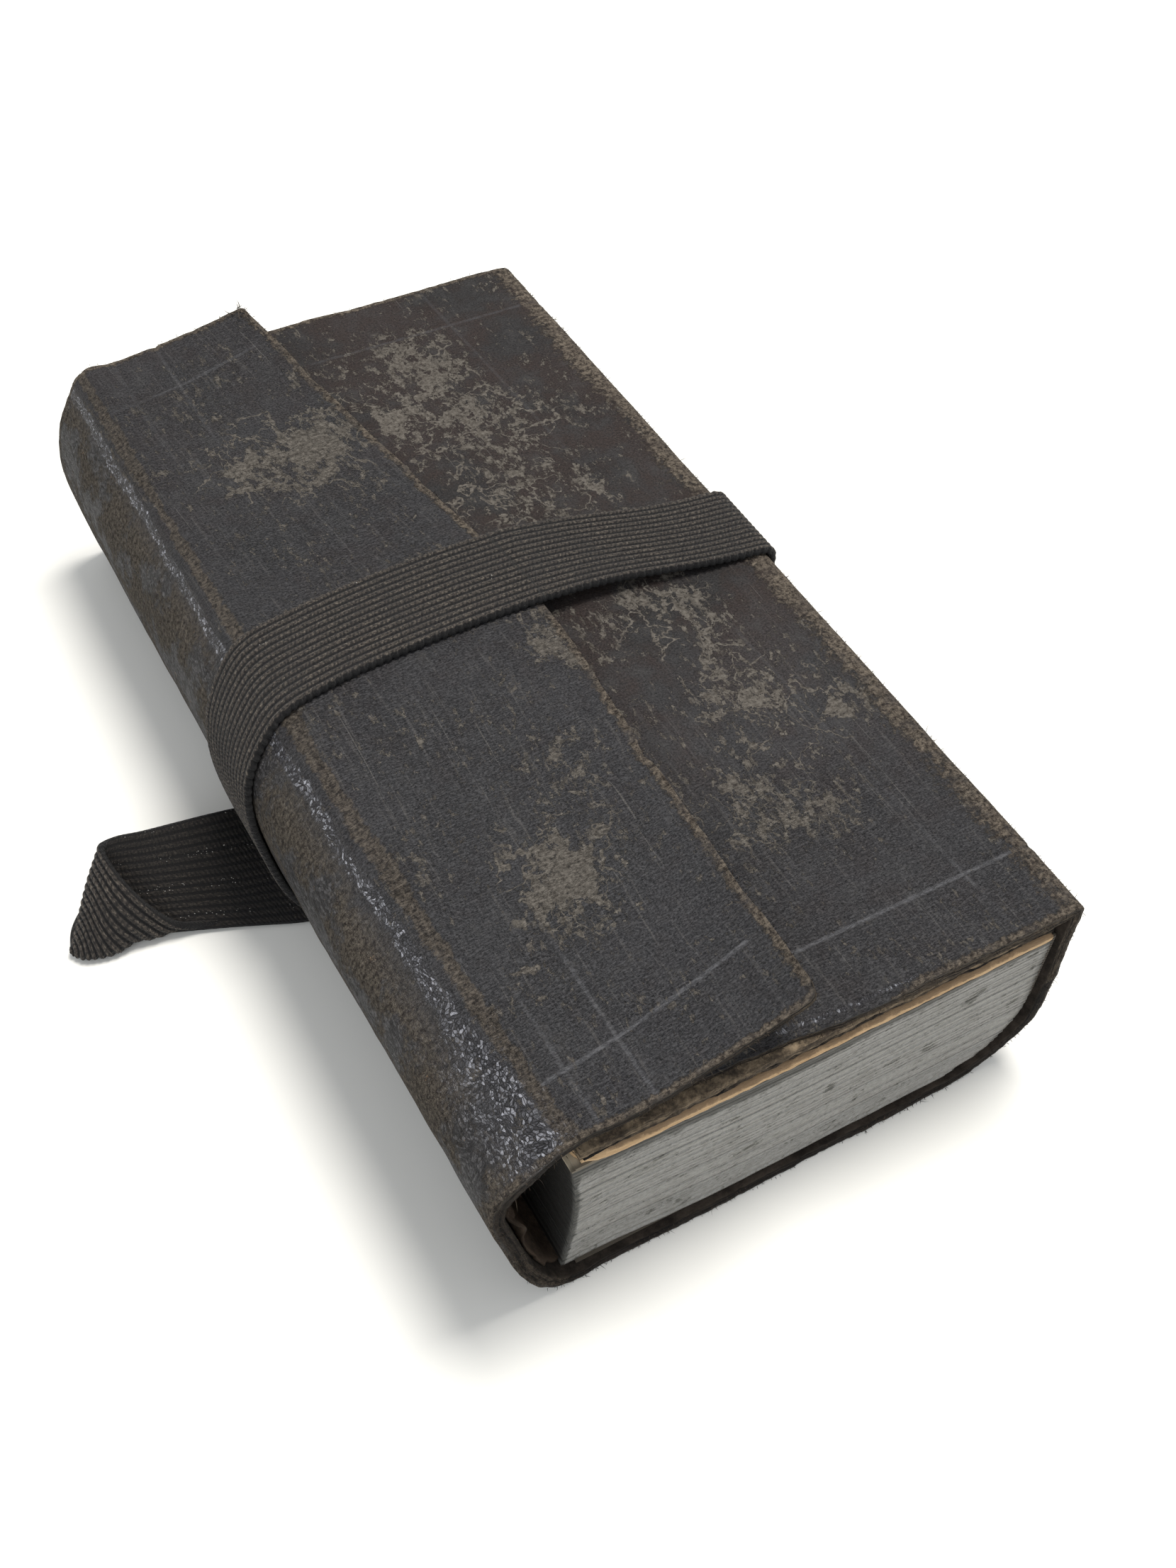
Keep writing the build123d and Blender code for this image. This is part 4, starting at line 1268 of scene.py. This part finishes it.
# The spare loop: rows across the strip, from one edge to the other, as it leaves the book, rises,
# turns over like a cone at its tip and comes back flat on the table.
LOOP = [
    [(-39.0, 8.8, 1.3), (-39.0, 2.2, 1.3), (-39.0, -4.4, 0.9), (-39.0, -11.0, 0.5)],
    [(-40.8, 8.5, 2.9), (-40.6, 2.5, 2.2), (-40.5, -4.0, 1.5), (-40.3, -11.1, 0.5)],
    [(-43.2, 8.2, 6.4), (-43.4, 3.2, 4.1), (-43.4, -3.2, 1.9), (-43.2, -10.2, 0.5)],
    [(-48.0, 6.9, 9.3), (-48.2, 2.8, 6.0), (-48.0, -2.8, 2.6), (-46.8, -8.7, 0.5)],
    [(-53.3, 6.9, 10.3), (-53.6, 3.4, 6.8), (-53.4, -1.2, 3.0), (-52.6, -6.4, 0.6)],
    [(-58.5, 7.2, 10.9), (-59.8, 4.4, 7.4), (-60.6, 0.6, 3.6), (-61.0, -3.4, 0.9)],
    [(-62.4, 8.0, 10.9), (-65.2, 5.6, 7.6), (-67.8, 2.6, 4.0), (-70.0, -0.6, 1.2)],
    [(-64.3, 7.2, 10.9), (-67.8, 4.2, 7.4), (-70.9, 1.0, 3.8), (-73.0, -1.0, 0.9)],
    [(-64.3, 4.2, 10.3), (-68.4, 0.4, 6.0), (-71.8, -2.4, 1.7), (-73.0, -0.2, 0.5)],
    [(-63.4, 1.0, 8.7), (-67.3, -1.8, 4.4), (-70.2, -3.2, 0.8), (-72.0, 2.8, 0.5)],
    [(-61.8, -1.4, 6.2), (-64.8, -3.1, 2.8), (-67.2, -2.6, 0.55), (-69.6, 5.6, 0.5)],
    [(-59.9, -3.3, 3.9), (-62.4, -3.4, 1.1), (-64.6, 1.8, 0.5), (-66.6, 7.6, 0.5)],
    [(-57.7, -4.6, 2.3), (-59.4, -2.4, 0.6), (-61.4, 3.4, 0.5), (-63.0, 8.8, 0.5)],
    [(-53.6, -5.7, 1.1), (-54.6, -0.6, 0.5), (-55.6, 4.6, 0.5), (-56.6, 9.9, 0.5)],
    [(-47.0, -6.0, 0.6), (-47.4, -0.6, 0.5), (-47.8, 4.8, 0.5), (-48.2, 10.0, 0.5)],
    [(-41.0, -6.0, 0.5), (-41.0, -0.6, 0.5), (-41.0, 4.8, 0.5), (-41.0, 10.0, 0.5)],
]


def elastic_loop():
    """The spare length: a loop that stands beside the book and lies back on the table."""
    net = spline(np.array(LOOP), 24)
    across = spline(np.swapaxes(net, 0, 1), 20)
    grid = stretches(across, np.zeros(across.shape[1]), lengths(across)[-1], RIB_COLUMNS)
    grid = np.swapaxes(grid, 0, 1)
    walked = lengths(grid.mean(1))
    at = np.linspace(0, walked[-1], int(walked[-1] / 0.3))
    grid = respaced(grid, walked, at)
    for _ in range(6):
        grid[1:-1] = (grid[:-2] + 2 * grid[1:-1] + grid[2:]) / 4
    normal = grid_normals(grid)
    if normal[len(grid) // 2, :, 0].mean() > 0:
        normal = -normal
    obj = elastic_piece("elastic_spare_loop", grid, at[:, None], normal, start="seam", end="seam")
    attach(obj, "band")
    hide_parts("elastic_loop")


# Everything together

CARRIED = {
    "front_flyleaf": ENDPAPER, "front_pastedown": ENDPAPER, "back_pastedown": BACK_PAPER_IN_SHADE,
    "card_filler": FILLER, "spine_lining": CLOTH, "sewing_tapes": CLOTH, "kettle_stitches": THREAD,
}
FLOOR_SIZE = 60.0
SURROUND_COLOR, SURROUND_STRENGTH = (0.96, 0.98, 1.0, 1.0), 0.62
LIGHTS = (  # name, place, diameter, power and colour
    ("overhead", (0.30, 0.10, 1.20), 0.55, 17.0, (1.0, 0.975, 0.93)),
    ("window", (-0.9, -0.7, 0.8), 0.9, 5.0, (0.9, 0.95, 1.0)),
)
CAMERA_PLACE = (-77.77, -157.63, 214.39)  # mm in the row frame
CAMERA_ANGLES = (40.265, -3.458, -29.975)  # degrees
SENSOR_HEIGHT, LENS = 36.0, 41.11


def dress_carried_nodes():
    """Materials for the CAD nodes that stay: papers, filler, tapes, thread and the cloth on the spine."""
    for node, material in CARRIED.items():
        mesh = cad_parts[node].data
        mesh.materials.clear()
        mesh.materials.append(material)


def add_object(name, data, location, rotation):
    obj = bpy.data.objects.new(name, data)
    obj.location, obj.rotation_euler = location, rotation
    bpy.context.scene.collection.objects.link(obj)
    return obj


def studio():
    """Pale floor, a large soft light overhead, a weaker one at the side, an even surround and the camera."""
    bpy.ops.mesh.primitive_plane_add(size=FLOOR_SIZE, location=(0, 0, 0))
    floor = bpy.context.object
    floor.name = "floor"
    floor.data.materials.append(floor_stuff())
    world = bpy.data.worlds.new("surround")
    world.use_nodes = True
    background = world.node_tree.nodes["Background"]
    background.inputs["Color"].default_value = SURROUND_COLOR
    background.inputs["Strength"].default_value = SURROUND_STRENGTH
    bpy.context.scene.world = world
    for name, location, size, power, tint in LIGHTS:
        data = bpy.data.lights.new(name, "AREA")
        data.shape, data.size, data.energy, data.color = "DISK", size, power, tint
        add_object(name, data, location, (-Vector(location)).to_track_quat("-Z", "Y").to_euler())
    data = bpy.data.cameras.new("camera")
    data.sensor_fit = "VERTICAL"
    data.sensor_height = SENSOR_HEIGHT
    data.lens = LENS
    data.clip_start = 0.01
    rotation = Euler([math.radians(a) for a in CAMERA_ANGLES])
    bpy.context.scene.camera = add_object("camera", data, Vector(CAMERA_PLACE) * MM, rotation)
    bpy.context.scene.view_settings.view_transform = "Standard"


spine_seam_s = top_and_spine()
wall_seam_s = bottom_and_folds(spine_seam_s)
wall_and_flap(wall_seam_s)
lining_strip()
cover_layers()
for number in range(1, GATHERINGS + 1):
    gathering(number)
elastic_band()
elastic_loop()
dress_carried_nodes()
studio()

bpy.context.view_layer.update()
